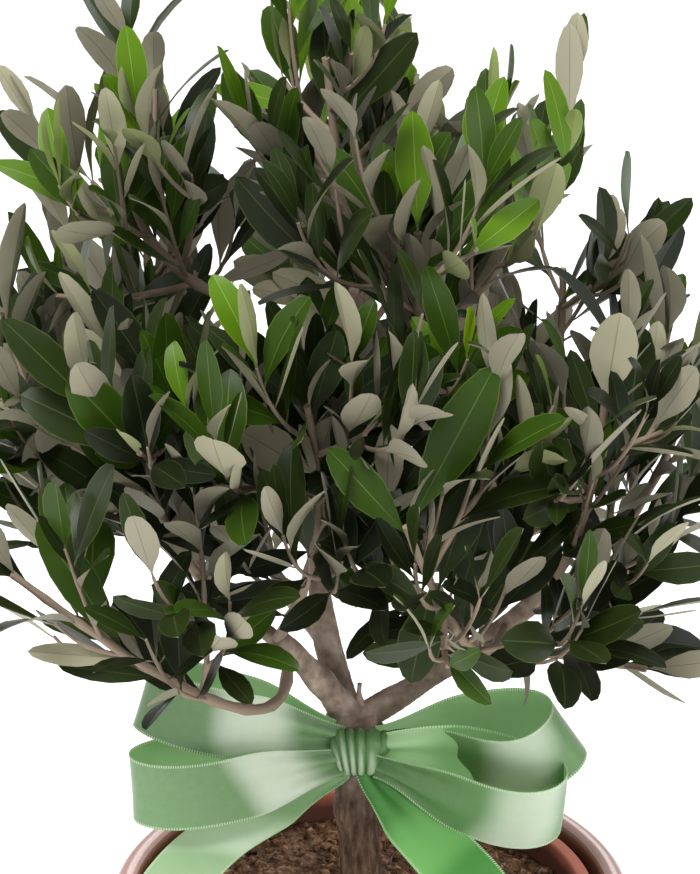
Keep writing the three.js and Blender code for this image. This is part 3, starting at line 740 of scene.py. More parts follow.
@dataclass
class GrowPot:
    """The terracotta-coloured grow pot that stands in the planter."""

    rim_top: float = 162
    rim: float = 84.3
    rim_width: float = 5.5
    rim_depth: float = 14
    outer_round: float = 1.2
    inner_round: float = 1.4
    foot: float = 56
    wall: float = 2.4
    base: float = 8.3
    sides: int = 144

    def build(self) -> None:
        """Turns the pot, with a flat rounded rim and a band below it."""
        throat = self.rim - self.rim_width
        low = self.rim_top - self.rim_depth
        floor = self.base + self.wall
        outer, inner = self.outer_round, self.inner_round
        profile = [(0, self.base), (self.foot - 1, self.base), (self.foot, self.base + 1)]
        profile += sloped((self.foot, self.base + 1), (throat + self.wall, low - 2), 5)
        profile += [(self.rim - 0.8, low - 0.4), (self.rim, low + 0.8)]
        profile += rounded((self.rim - outer, self.rim_top - outer), outer, 0, 90, 4)
        profile += rounded((throat + inner, self.rim_top - inner), inner, 90, 180, 4)
        profile += [(throat - 0.1, self.rim_top - 8), (throat - 0.2, low - 2)]
        profile += [(self.foot - self.wall, floor), (0, floor)]
        mesh = finish_mesh(turned(profile, self.sides), sharp=60)
        new_piece("grow_pot_turned", mesh, [Terracotta()], ["grow_pot"])


@dataclass
class Compost:
    """The compost: a rough bed, loose crumbs on it, and fibres of bark and root."""

    level: float = 150
    edge: float = 78.2
    foot: float = 53
    base: float = 11.2
    sides: int = 190
    rings: int = 58
    pad: float = 9
    crumbs: int = 2600
    crumb_size: float = 0.35
    crumb_growth: float = 2.6
    fibres: int = 420
    fibre_points: int = 6
    numbers: Numbers = field(default_factory=lambda: Numbers(77))

    def surface(self, x: float, y: float) -> float:
        """The height of the bed's surface, which is flat at the trunk and at the pot's wall.

        Args:
            x: the place's x.
            y: the place's y.

        Returns:
            The height.
        """
        radius = math.hypot(x, y)
        fade = ease(radius, self.pad, self.pad + 8) * (1 - ease(radius, self.edge - 3, self.edge))
        coarse = noise.noise(v(x / 13, y / 13, 3.1)) * 2.4
        lumps = noise.fractal(v(x / 4.2, y / 4.2, 7.7), 0.8, 2.1, 4) * 1.8
        return self.level + 0.5 + fade * (coarse + lumps - 0.3)

    def build(self) -> None:
        """Makes the bed, the crumbs and the fibres."""
        self._bed()
        self._crumbs()
        self._fibres()

    def _bed(self) -> None:
        """Turns the bed and roughens its top."""
        profile = [(0, self.base), (self.foot, self.base), (self.edge, self.level - 4)]
        profile += [(self.edge * (1 - i / self.rings), self.level) for i in range(self.rings + 1)]
        work = turned(profile, self.sides)
        for vert in work.verts:
            if vert.co.z > self.level - 1:
                vert.co.z = self.surface(vert.co.x, vert.co.y)
        new_piece("compost_bed", finish_mesh(work), [Earth()], ["soil"])

    def _crumbs(self) -> None:
        """Scatters lumpy crumbs over the bed, most of them small."""
        work = bmesh.new()
        bmesh.ops.create_icosphere(work, subdivisions=1, radius=1)
        shape, faces = arrays_of(work)
        random = self.numbers
        places, sizes, turns = [], [], []
        for _ in range(self.crumbs):
            radius = self.edge * math.sqrt(random.next()) * 0.985
            angle = random.between(0, TURN)
            x, y = radius * math.cos(angle), radius * math.sin(angle)
            if radius < self.pad:
                continue
            size = self.crumb_size + self.crumb_growth * random.next() ** 5
            places.append((x, y, self.surface(x, y) + size * 0.25))
            stretches = ((0.7, 1.4), (0.7, 1.2), (0.5, 0.9))
            sizes.append([size * random.between(low, high) for low, high in stretches])
            turn, tip = random.between(0, TURN), random.between(-1, 1)
            turns.append(Matrix.Rotation(turn, 3, "Z") @ Matrix.Rotation(tip, 3, "X"))
        ragged = 1 + 0.25 * np.sin(np.arange(len(shape)) * 2.4)
        lumps = shape[None] * ragged[None, :, None] * np.array(sizes)[:, None, :]
        spread = np.einsum("nij,nvj->nvi", np.array(turns), lumps) + np.array(places)[:, None, :]
        new_piece("compost_crumbs", mesh_of_copies(spread, faces), [Earth("compost_crumb", 1.25)], [])

    def _fibres(self) -> None:
        """Lays bent fibres on the bed."""
        random = self.numbers
        lines = []
        for _ in range(self.fibres):
            radius = self.edge * math.sqrt(random.next()) * 0.95
            angle, heading = random.between(0, TURN), random.between(0, TURN)
            if radius < self.pad + 2:
                continue
            place = v(radius * math.cos(angle), radius * math.sin(angle), 0)
            length, thick = random.between(3, 13), random.between(0.14, 0.42)
            curl, rise = random.between(-0.5, 0.5), random.between(0, 0.25)
            line = []
            for i in range(self.fibre_points):
                place = place + v(math.cos(heading), math.sin(heading), 0) * (length / self.fibre_points)
                heading += curl
                if math.hypot(place.x, place.y) > self.edge - 1:
                    break
                lift = 0.5 + rise * i
                raised = v(place.x, place.y, self.surface(place.x, place.y) + lift)
                line.append((raised, thick * (1 - 0.1 * i)))
            if len(line) > 2:
                lines.append((line, 0))
        paint = Paint("fibre", (0.21, 0.115, 0.062), 0.85)
        new_piece("compost_fibres", mesh_of_lines(lines), [paint], [])


def arrays_of(work: bmesh.types.BMesh) -> tuple[np.ndarray, list[list[int]]]:
    """Reads and frees a bmesh.

    Args:
        work: the bmesh.

    Returns:
        Its vertices, and the vertex numbers of each face.
    """
    work.verts.index_update()
    shape = np.array([vert.co[:] for vert in work.verts])
    faces = [[vert.index for vert in face.verts] for face in work.faces]
    work.free()
    return shape, faces


def mesh_of_copies(places: np.ndarray, faces: list[list[int]]) -> bpy.types.Mesh:
    """Joins copies of one shape in a mesh.

    Args:
        places: for each copy, the places of its vertices in millimetres.
        faces: one copy's faces, all with the same number of corners.

    Returns:
        The mesh, in metres and smoothly shaded.
    """
    copies, count, _ = places.shape
    corners = len(faces[0])
    loops = (np.array(faces)[None] + (np.arange(copies) * count)[:, None, None]).reshape(-1)
    mesh = bpy.data.meshes.new("mesh")
    mesh.vertices.add(copies * count)
    mesh.vertices.foreach_set("co", (places * MM).reshape(-1))
    mesh.loops.add(len(loops))
    mesh.loops.foreach_set("vertex_index", loops)
    mesh.polygons.add(len(loops) // corners)
    mesh.polygons.foreach_set("loop_start", np.arange(0, len(loops), corners))
    mesh.polygons.foreach_set("use_smooth", np.ones(len(loops) // corners, dtype=bool))
    mesh.update(calc_edges=True)
    mesh.validate()
    return mesh


Line = tuple[list[tuple[Vector, float]], int]
LINE_SLOTS = 2


def mesh_of_lines(lines: Sequence[Line]) -> bpy.types.Mesh:
    """Makes one mesh of many round strands.

    Args:
        lines: for each strand, its places with their radii, and its material slot.

    Returns:
        The mesh, in metres.
    """
    curve = bpy.data.curves.new("strands", "CURVE")
    curve.dimensions = "3D"
    curve.bevel_depth = 1.0
    curve.bevel_resolution = 1
    curve.use_fill_caps = True
    for points, slot in lines:
        spline = curve.splines.new("POLY")
        spline.points.add(len(points) - 1)
        for target, (place, radius) in zip(spline.points, points):
            target.co = (*(place * MM), 1.0)
            target.radius = radius * MM
        spline.material_index = slot
        spline.use_smooth = True
    holder = bpy.data.objects.new("strands", curve)
    for _ in range(LINE_SLOTS):
        curve.materials.append(None)
    mesh = bpy.data.meshes.new_from_object(holder)
    mesh.materials.clear()
    bpy.data.objects.remove(holder)
    bpy.data.curves.remove(curve)
    return mesh


@dataclass(frozen=True)
class Branch:
    """What grows from a place along its parent to its tip, bowed aside by bend at the middle."""

    on: str
    at: float
    tip: Vector
    bend: Vector


@dataclass(frozen=True)
class Limb(Branch):
    """A limb, with its thickness at the foot and at the tip."""

    radii: tuple[float, float]


@dataclass(frozen=True)
class Mass(Branch):
    """A mass of foliage: its stem bears side twigs in turn round it, and its leaves may start at a height."""

    twigs: int
    low: float | None = None


SOIL_LEVEL = 150
FORK = v(-7.5, 0, 237)
TRUNK_RADIUS = 7.6
# The camera's place.
EYE = v(-7.87, -968.8, 724.4)
# Where a leaf or a fine shoot leans before it is turned round what bears it.
LEAN = v(0.31, 0.44, 0.84)
LIMBS = {
    "left_bough": Limb("trunk", 0.95, v(-34, -17, 275), v(3, 2, -2), (6, 3.9)),
    "leader": Limb("trunk", 0.97, v(-7, 12, 398), v(-13, 12, -14), (5.2, 2.5)),
    "right_bough": Limb("trunk", 0.95, v(63, 0, 285), v(2, 6, -4), (5.2, 3.1)),
    "left_outer_bough": Limb("left_bough", 0.62, v(-66, -1, 303), v(-6, 4, 2), (3, 2.2)),
    "rear_left_bough": Limb("leader", 0.16, v(-52, 52, 312), v(-6, 8, -2), (3.2, 2.3)),
    "rear_right_bough": Limb("right_bough", 0.42, v(46, 58, 306), v(4, 6, -6), (3.2, 2.3)),
    "rear_bough": Limb("leader", 0.38, v(-2, 66, 350), v(0, 6, -5), (2.7, 2.1)),
    "upper_right_bough": Limb("leader", 0.56, v(30, -6, 396), v(5, 0, -7), (2.7, 2.1)),
    "upper_left_bough": Limb("leader", 0.66, v(-48, -12, 402), v(-5, 0, -6), (2.5, 2)),
}
MASSES = {
    "foliage_front_low_left": Mass("left_bough", 0.9, v(-119, -82, 329), v(27, -7, -33), 4, 250),
    "foliage_front_left": Mass("left_bough", 0.99, v(-21.8, -76, 386), v(8, -1, -4), 5, 262),
    "foliage_left": Mass("left_outer_bough", 0.98, v(-108, 2, 356), v(-6, 0, -5), 5),
    "foliage_left_front": Mass("left_outer_bough", 0.6, v(-80, -56, 384), v(-4, -12, -8), 5),
    "foliage_rear_left": Mass("rear_left_bough", 0.98, v(-82, 58, 400), v(-8, 4, -6), 5),
    "foliage_rear_low_left": Mass("rear_left_bough", 0.72, v(-72, 76, 306), v(-2, 4, -6), 4),
    "foliage_rear": Mass("rear_bough", 0.98, v(-6, 96, 396), v(0, 8, -8), 5),
    "foliage_rear_low": Mass("rear_bough", 0.5, v(8, 92, 312), v(2, 4, -6), 4),
    "foliage_rear_right": Mass("rear_right_bough", 0.98, v(70, 60, 388), v(8, 4, -8), 5),
    "foliage_rear_low_right": Mass("rear_right_bough", 0.7, v(80, 62, 300), v(2, 6, -8), 4),
    "foliage_right": Mass("right_bough", 0.99, v(107, -3, 350), v(5, 4, -8), 5),
    "foliage_right_low": Mass("right_bough", 0.62, v(96, -36, 272), v(3, -6, 3), 4, 228),
    "foliage_right_front": Mass("right_bough", 0.9, v(76, -62, 384), v(4, -8, -6), 5),
    "foliage_front": Mass("right_bough", 0.76, v(10, -96, 352), v(4, -11.5, -20), 5, 262),
    "foliage_top_right": Mass("upper_right_bough", 0.98, v(56, -10, 452), v(4, 0, -4), 5),
    "foliage_front_upper": Mass("upper_right_bough", 0.6, v(14, -62, 440), v(0, -10, -10), 5),
    "foliage_upper_left": Mass("upper_left_bough", 0.98, v(-82, -28, 446), v(-4, -2, -6), 5),
    "foliage_top": Mass("leader", 0.995, v(-16, -8, 484), v(0, -2, 0), 5),
    "foliage_rear_top": Mass("leader", 0.86, v(-14, 58, 458), v(0, 6, -8), 5),
}


def trunk_path() -> Path:
    """The trunk's course, from the soil to the fork."""
    return Path.bowed(v(-3, 0, SOIL_LEVEL + 0.3), FORK, v(0.6, 0, 0))


@dataclass
class Wood:
    """The trunk and the boughs: their courses, their thickness and the bark that covers them."""

    flare: float = 4.6
    knuckle: float = 0.9
    swell: float = 1.9
    waviness: float = 0.09
    stub: float = 12
    voxel: float = 0.75
    smoothings: int = 4
    samples: int = 40
    paths: dict[str, Path] = field(default_factory=dict)

    def __post_init__(self) -> None:
        """Lays out the course of every limb and stem."""
        self.paths["trunk"] = trunk_path()
        for name, branch in (LIMBS | MASSES).items():
            self.paths[name] = Path.bowed(self.paths[branch.on].at(branch.at), branch.tip, branch.bend)
        shares = [i / self.samples for i in range(self.samples + 1)]
        spots = []
        for name, path in self.limb_paths():
            spots += [(path.at(along), self.radius(name, along)) for along in shares]
        self.tree = kdtree.KDTree(len(spots))
        self.radii = [radius for _, radius in spots]
        for i, (place, _) in enumerate(spots):
            self.tree.insert(place, i)
        self.tree.balance()

    def limb_paths(self) -> list[tuple[str, Path]]:
        """The trunk and the boughs with their courses."""
        return [(name, self.paths[name]) for name in ("trunk", *LIMBS)]

    def radius(self, name: str, along: float, angle: float = 0.0) -> float:
        """The thickness of a limb from its centre line.

        Args:
            name: the limb.
            along: the share of its length.
            angle: the angle round it, which matters on the trunk.

        Returns:
            The radius in millimetres.
        """
        if name != "trunk":
            foot, tip = LIMBS[name].radii
            return mix(foot, tip, along) * (1 + self.waviness * math.sin(along * 17 + foot))
        flare = self.flare * math.exp(-along * 9) * (1 + 0.3 * math.cos(5 * angle + 0.6))
        knuckle = self.knuckle * math.exp(-(((along - 0.55) / 0.07) ** 2)) * (1 + math.cos(angle - 2))
        return TRUNK_RADIUS + flare + knuckle + self.swell * ease(along, 0.78, 0.97)

    def clear(self, place: Vector, margin: float) -> bool:
        """Whether a place is off every limb by a margin."""
        _, i, distance = self.tree.find(place)
        return distance > self.radii[i] + margin

    def build(self) -> None:
        """Fuses the limbs in one skin, gives it the bark's relief and adds the dead stub in the fork."""
        work = self._skin()
        work.normal_update()
        for vert in work.verts:
            vert.co += vert.normal * self._relief(vert.co)
        stub = Path.bowed(FORK + v(3.4, 0.5, 0), FORK + v(3.2, -0.5, self.stub), v(-0.4, 0, 0))
        add_tube(work, stub, 16, 12, self._stub_radius)
        new_piece("trunk_and_boughs", finish_mesh(work), [Bark()], ["trunk", *LIMBS])

    def _skin(self) -> bmesh.types.BMesh:
        """Fuses the trunk and the boughs, and smooths their joints.

        Returns:
            The skin in millimetres.
        """
        work = bmesh.new()
        for name, path in self.limb_paths():
            sides = 40 if name == "trunk" else 20
            add_tube(work, path, sides, max(8, round(path.length / 4)), partial(self.radius, name))
        skin = bpy.data.objects.new("skin", finish_mesh(work))
        bpy.context.scene.collection.objects.link(skin)
        fusing = skin.modifiers.new("fuse", "REMESH")
        fusing.mode = "VOXEL"
        fusing.voxel_size = self.voxel * MM
        evaluated = skin.evaluated_get(bpy.context.evaluated_depsgraph_get())
        work = bmesh.new()
        work.from_mesh(bpy.data.meshes.new_from_object(evaluated))
        bpy.data.objects.remove(skin)
        bmesh.ops.scale(work, vec=(1 / MM, 1 / MM, 1 / MM), verts=work.verts)
        every_way = {"use_axis_x": True, "use_axis_y": True, "use_axis_z": True}
        for _ in range(self.smoothings):
            bmesh.ops.smooth_vert(work, verts=work.verts, factor=0.5, **every_way)
        return work

    @staticmethod
    def _stub_radius(along: float, angle: float) -> float:
        """The stub's thickness, which narrows to its broken end and is the same all round."""
        return mix(2.6, 0.8, ease(along, 0, 0.7)) * (1.15 - 0.15 * math.sin(9 * along))

    @staticmethod
    def _relief(place: Vector) -> float:
        """How far the bark stands up: long cracks low on the trunk, and wrinkles above.

        Args:
            place: a place on the skin.

        Returns:
            The height of the relief in millimetres.
        """
        low = 1 - ease(place.z, 205, 240)
        cracks = abs(noise.fractal(v(place.x / 2.6, place.y / 2.6, place.z / 13), 0.8, 2.0, 3))
        lumps = noise.noise(v(place.x / 7, place.y / 7, place.z / 11 + 5))
        wrinkles = noise.fractal(place / 1.9, 0.9, 2.1, 3)
        return low * (0.55 * lumps - 0.75 * cracks + 0.2) + (1 - low) * (0.3 * lumps) + 0.16 * wrinkles


@dataclass
class Twig:
    """A twig of a mass: its course, its thickness at the foot and tip, and how far it bears anything.

    Its order is 0 for a mass's stem, 1 for a side twig and 2 for a fine shoot.
    """

    path: Path
    foot: float
    tip: float
    order: int
    mass: str
    end: float = 0

    def bear(self, along: float) -> None:
        """Notes that the twig bears something at a share of its length."""
        self.end = max(self.end, min(1.0, along + 0.03))


@dataclass
class Leaf:
    """A leaf: where it sits, how it lies, its size, its shape and its tone."""

    root: Vector
    direction: Vector
    up: Vector
    length: float
    width: float
    tone: Tone = Tone.DARK
    fold: float = 0.2
    bend: float = 0.0
    twist: float = 0.0

    def side(self) -> Vector:
        """The direction across the leaf."""
        return self.up.cross(self.direction).normalized()


@dataclass
class Outline:
    """The flat outline of a leaf, for finding out what it meets."""

    WIDEST: ClassVar[float] = 0.57
    STALK: ClassVar[float] = 0.08
    HEART: ClassVar[float] = 0.4

    root: Vector
    left: Vector
    tip: Vector
    right: Vector
    middle: Vector

    @classmethod
    def of(cls, leaf: Leaf) -> "Outline":
        """The outline of a leaf.

        Args:
            leaf: the leaf.

        Returns:
            Its outline.
        """
        side = leaf.side() * (leaf.width / 2)
        along = leaf.direction * leaf.length
        wide = leaf.root + along * cls.WIDEST
        root, middle = leaf.root + along * cls.STALK, leaf.root + along * cls.HEART
        return cls(root, wide - side, leaf.root + along, wide + side, middle)

    def places(self) -> tuple[Vector, Vector, Vector, Vector]:
        """The places that tell whether the leaf fits."""
        return self.left, self.tip, self.right, self.middle

    def edges(self) -> list[tuple[Vector, Vector]]:
        """The outline's edges and its midrib."""
        pairs = [pair for side in (self.left, self.right) for pair in ((self.root, side), (side, self.tip))]
        return [*pairs, (self.root, self.tip)]

    def pierced_by(self, start: Vector, end: Vector) -> bool:
        """Whether a straight line passes through the leaf.

        Args:
            start: where the line starts.
            end: where it ends.

        Returns:
            True if it does.
        """
        run = end - start
        for side in (self.left, self.right):
            hit = geometry.intersect_ray_tri(self.root, side, self.tip, run, start, True)
            if hit is not None and (hit - start).length <= run.length and (hit - start).dot(run) > 0:
                return True
        return False

    def crossed_by(self, other: "Outline") -> bool:
        """Whether an edge of another leaf passes through the leaf."""
        return any(self.pierced_by(*edge) for edge in other.edges())

    def meets(self, other: "Outline", apart: float) -> bool:
        """Whether two leaves come nearer than apart, or cross."""
        near = any((a - b).length_squared < apart * apart for a in self.places() for b in other.places())
        return near or other.crossed_by(self) or self.crossed_by(other)


class Grid:
    """Finds what lies near a place, by cells of one size."""

    def __init__(self, cell: float) -> None:
        """Starts an empty grid."""
        self.cell = cell
        self.cells: dict[tuple[int, ...], list] = {}

    def _key(self, place: Vector) -> tuple[int, ...]:
        """The cell that a place is in."""
        return tuple(math.floor(part / self.cell) for part in place)

    def add(self, place: Vector, thing: object) -> None:
        """Puts a thing at a place."""
        self.cells.setdefault(self._key(place), []).append(thing)

    def near(self, place: Vector) -> Iterable:
        """Everything in the cell of a place and in the cells round it."""
        for cell in product(*((part - 1, part, part + 1) for part in self._key(place))):
            yield from self.cells.get(cell, ())


def standing_off(heading: Vector, side: Vector, spin: float, angle: float) -> Vector:
    """The direction that stands off a heading.

    Args:
        heading: the direction that it leaves.
        side: where it would lean with no spin.
        spin: how far it is turned round the heading, in radians.
        angle: how far it leans away, in radians.

    Returns:
        The direction.
    """
    away = squared(side, heading)
    away.rotate(Quaternion(heading, spin))
    return (heading * math.cos(angle) + away * math.sin(angle)).normalized()


@dataclass(frozen=True)
class Feature:
    """A leaf that stands out in the photograph: where on a mass's stem it grows, its tip and its look."""

    along: float
    tip: Vector
    width: float
    tone: Tone
    under: bool = False

    def leaf(self, stem: Path) -> Leaf:
        """The leaf, with its upper or its lower face to the front.

        Args:
            stem: the course of the stem that bears it.

        Returns:
            The leaf, nearly flat.
        """
        root = stem.at(self.along)
        run = self.tip - root
        front = (EYE - root).normalized() * (-1 if self.under else 1)
        direction = run.normalized()
        shape = {"fold": 0.12, "bend": 0.15, "twist": 0.1}
        return Leaf(root, direction, squared(front, direction), run.length, self.width, self.tone, **shape)


FEATURES = {
    "foliage_front": (
        Feature(0.99, v(37, -100, 407), 17, Tone.GREEN),
        Feature(0.96, v(-14, -101, 380), 13, Tone.GREEN),
        Feature(0.8, v(12, -93, 294), 15, Tone.DARK),
        Feature(0.76, v(34, -79, 366), 15, Tone.DARK),
        Feature(0.64, v(37, -78, 349), 11, Tone.DARK),
        Feature(0.52, v(48, -62, 324), 11, Tone.DARK),
    ),
    "foliage_front_left": (
        Feature(0.74, v(-44, -72, 376), 15, Tone.GREEN, True),
        Feature(0.92, v(16, -67, 405), 9, Tone.DEEP),
        Feature(0.97, v(-54, -73, 412), 9, Tone.DARK),
        Feature(0.94, v(-12, -65, 408), 12, Tone.DARK),
        Feature(0.12, v(-66, -35, 302), 14, Tone.DEEP),
        Feature(0.44, v(-45, -53, 317), 9, Tone.DEEP),
        Feature(0.48, v(-7, -53, 306), 12, Tone.DARK),
    ),
    "foliage_front_low_left": (
        Feature(0.66, v(-110, -76, 344), 14, Tone.GREEN),
        Feature(0.64, v(-116, -76, 298), 8, Tone.GREEN, True),
        Feature(0.54, v(-106, -72, 291), 8, Tone.DARK),
        Feature(0.5, v(-87, -60, 311), 14, Tone.DEEP),
    ),
    "foliage_right_front": (
        Feature(0.96, v(80, -62, 414), 16, Tone.GREEN, True),
        Feature(0.76, v(52, -53, 394), 11, Tone.DARK),
        Feature(0.86, v(65, -51, 396), 8, Tone.DARK),
        Feature(0.78, v(106, -53, 374), 10, Tone.DARK),
    ),
    "foliage_front_upper": (
        Feature(0.82, v(43, -60, 464), 14, Tone.GREEN),
        Feature(0.64, v(19, -57, 438), 13, Tone.GREEN, True),
        Feature(0.99, v(12, -58, 479), 13, Tone.FRESH),
    ),
    "foliage_top": (
        Feature(0.74, v(-17, -4, 496), 12, Tone.DARK),
        Feature(0.72, v(14, -8, 492), 13, Tone.DARK),
    ),
}


# Openings between the shoots, where sky shows from the front: x and z in the plane y = 0, and radius.
OPENINGS = (
    (94, 483, 21), (93, 436, 5), (99, 455, 15), (22, 499, 10), (-42, 494, 6), (-115, 494, 12),
    (65, 423, 8.5), (63, 404, 8), (-115, 421, 7), (-96, 408, 5.5), (-77, 418, 5), (-47, 453, 6),
    (75, 383, 7), (108, 387, 5), (-90, 293, 11), (-124, 293, 11), (102, 286, 8), (91, 428, 6),
    (110, 420, 6), (102, 329, 6), (-23, 473, 5), (29, 469, 5), (51, 473, 5), (-57, 421, 4),
    (81, 324, 4.5), (29, 387, 4.5), (-15, 434, 4), (-7, 254, 8), (22, 245, 8), (-26, 239, 5),
    (91, 246, 9), (71, 236, 10), (117, 228, 11), (-128, 263, 13), (-117, 245, 15), (-98, 239, 9),
    (-81, 228, 11), (40, 228, 14), (-68, 480, 5), (-35, 481, 6), (19, 482, 6), (33, 481, 5),
    (36, 496, 8), (-112, 471, 5), (61, 464, 5), (75, 456, 5), (-96, 446, 6), (77, 441, 6), (54, 403, 6),
    (69, 388, 5), (-113, 370, 4), (92, 325, 4), (114, 300, 5), (-72, 294, 5), (-109, 276, 5),
    (-8, 276, 4),
)
# Stretches of wood that nothing hides in the photograph: a name, and from and to which share of its length.
SIGHTS = (
    ("foliage_front_low_left", 0.0, 1.0),
    ("foliage_front_left", 0.25, 0.98),
    ("foliage_front", 0.0, 0.96),
    ("foliage_right_front", 0.0, 0.7),
    ("trunk", 0.8, 1.0),
    ("left_bough", 0.0, 0.4),
    ("right_bough", 0.0, 0.4),
)


# What tells whether a twig may pass a place.
Room = Callable[[Vector], bool]


@dataclass
class Crown:
    """The crown: the wood and leaves that grow in the masses' spaces."""

    wood: Wood
    keep_off: list[Vector]
    centre: Vector = field(default_factory=lambda: v(-8, 0, 385))
    radii: Vector = field(default_factory=lambda: v(148, 144, 142))
    depth: float = 150
    fullness: float = 3.2
    lean: float = 0.12
    underside: float = 260
    front_rise: float = 0.3
    front_edge: float = -15
    low_reach: float = 1.25
    ribbon_margin: float = 4.5
    sight_width: float = 30
    stem_seeds: tuple[int, int] = (4001, 97)
    shoot_seeds: tuple[int, int] = (90210, 31)
    leaf_seeds: tuple[int, int] = (555, 17)
    stem_radius: float = 2.1
    twig_length: float = 56
    twig_radius: float = 1.25
    twig_shortest: float = 16
    twig_angle: float = 56
    twig_taper: float = 0.62
    twig_depth: float = 26
    twig_lean: Vector = field(default_factory=lambda: v(0.2, 0.5, 0.84))
    shortening: float = 0.86
    shoot_length: float = 42
    shoot_depth: float = 22
    shoot_radii: tuple[float, float] = (0.9, 0.5)
    leaf_length: float = 39
    leaf_slim: float = 3.05
    leaf_step: float = 10.5
    leaf_tries: int = 6
    leaf_apart: float = 3.2
    leaf_sizes: tuple[float, float] = (0.72, 1.22)
    leaf_angles: tuple[float, float] = (46, 30)
    looseness: tuple[float, float] = (0.3, 0.22)
    end_size: float = 0.78
    end_angle: float = 18
    bare: tuple[float, float, float] = (0.6, 0.42, 0.16)
    twigs: list[Twig] = field(default_factory=list)
    leaves: list[Leaf] = field(default_factory=list)

    def __post_init__(self) -> None:
        """Samples the stems, and the ribbon that foliage keeps off."""
        self.stems = {name: [self.wood.paths[name].at(i / 8) for i in range(9)] for name in MASSES}
        self.sights: list[tuple[Vector, Vector]] = []
        self.ribbon = kdtree.KDTree(len(self.keep_off))
        for i, place in enumerate(self.keep_off):
            self.ribbon.insert(place, i)
        self.ribbon.balance()
        self.outlines = Grid(self.leaf_length)
        self.sticks = Grid(self.leaf_length)

    def share(self, place: Vector, depth: float = 0) -> float:
        """How far out in the crown a place lies.

        Args:
            place: the place.
            depth: how far the crown is drawn in all round.

        Returns:
            A number from 0 in the crown's middle to 1 at its surface, and more outside.
        """
        rise = place.z - self.centre.z
        across = (place.x - self.centre.x + self.lean * max(rise, 0)) / (self.radii.x - depth)
        forward = (place.y - self.centre.y) / (self.radii.y - depth)
        if rise > 0:
            height = (rise / (self.radii.z - depth)) ** 2
        else:
            height = abs(rise / (self.depth - depth)) ** self.fullness
        return across**2 + forward**2 + height

    @staticmethod
    def _distance(place: Vector, path: list[Vector]) -> float:
        """The distance from a place to a path of straight pieces.

        Args:
            place: the place.
            path: the ends of the pieces.

        Returns:
            The distance in millimetres.
        """
        best = math.inf
        for start, end in zip(path, path[1:]):
            foot, along = geometry.intersect_point_line(place, start, end)
            if along < 0:
                foot = start
            elif along > 1:
                foot = end
            best = min(best, (place - foot).length)
        return best

    def in_reach(self, place: Vector, mass: str, depth: float = 0) -> bool:
        """Whether a place lies in the crown, above the mass's lowest leaves.

        Args:
            place: the place.
            mass: the mass's name.
            depth: how far the crown is drawn in all round.

        Returns:
            True if it does.
        """
        low = MASSES[mass].low
        under = (low or self.underside) + self.front_rise * max(0.0, self.front_edge - place.y)
        aside = abs(place.y - self.centre.y) <= self.radii.y - depth
        return place.z >= under and aside and self.share(place, depth) <= (self.low_reach if low else 1)

    def in_space(self, place: Vector, mass: str, margin: float, depth: float) -> bool:
        """Whether a place lies in the crown and nearest to the mass's own stem.

        Args:
            place: the place.
            mass: the mass's name.
            margin: how much further off every other mass's stem is.
            depth: how far the crown is drawn in all round.

        Returns:
            True if it does.
        """
        if not self.in_reach(place, mass, depth):
            return False
        own = self._distance(place, self.stems[mass])
        others = (path for name, path in self.stems.items() if name != mass)
        return all(self._distance(place, path) > own + margin for path in others)

    @staticmethod
    def in_leaf(place: Vector) -> bool:
        """Whether a place, seen from the front, lies outside every opening between the shoots."""
        seen = EYE + (place - EYE) * (EYE.y / (EYE.y - place.y))
        return all((seen.x - x) ** 2 + (seen.z - z) ** 2 > radius**2 for x, z, radius in OPENINGS)

    def hides(self, outline: Outline) -> bool:
        """Whether a leaf would stand before something that is seen in the photograph.

        Args:
            outline: the leaf's outline.

        Returns:
            True if it would.
        """
        seen = outline.middle - EYE
        near = (place for place, sight in self.sights if seen.cross(sight).length < self.sight_width)
        return any(outline.pierced_by(EYE, place) for place in near)

    def off_limbs(self, place: Vector, margin: float = 1.0) -> bool:
        """Whether a place is clear of the limbs and of the ribbon."""
        return self.wood.clear(place, margin) and self.ribbon.find(place)[2] > self.ribbon_margin

    def _for_twig(self, mass: str, place: Vector) -> bool:
        """Whether a mass's side twig may pass a place."""
        own = self.in_space(place, mass, 4 * self.twig_radius, self.twig_depth)
        return own and self.off_limbs(place, 2.5) and self.in_leaf(place)

    def _for_shoot(self, mass: str, place: Vector) -> bool:
        """Whether a mass's fine shoot may pass a place."""
        reached = self.in_reach(place, mass, self.shoot_depth)
        return reached and self.off_limbs(place, 2) and self.in_leaf(place)

    def _twig_path(
        self, root: Vector, heading: Vector, wanted: float, lift: float, fits: Room, rise: float = 0.6
    ) -> Path | None:
        """The course of a side twig.

        Args:
            root: where it leaves its stem.
            heading: how it sets out.
            wanted: its length, which is shortened until it fits.
            lift: how far it turns to the light.
            fits: whether a place may hold it.
            rise: how much of the light comes from above.

        Returns:
            The course, or None where no length fits.
        """
        length = wanted
        while length > self.twig_shortest:
            middle = root + heading * (length * 0.45)
            light = ((middle - self.centre).normalized() * (1.4 - rise) + v(0, 0, rise)).normalized()
            onward = heading.lerp(light, lift).normalized()
            path = Path.bent(root, middle, middle + onward * (length * 0.55))
            if all(fits(path.at(along)) for along in (0.4, 0.6, 0.8, 1)):
                return path
            length *= self.shortening
        return None

    def _remember(self, twig: Twig) -> None:
        """Keeps a twig, and its straight pieces for the leaves to keep off.

        Args:
            twig: the twig.
        """
        self.twigs.append(twig)
        count = max(2, round(twig.path.length / 14))
        points = [twig.path.at(i / count) for i in range(count + 1)]
        for start, end in zip(points, points[1:]):
            self.sticks.add((start + end) / 2, (start, end, twig))

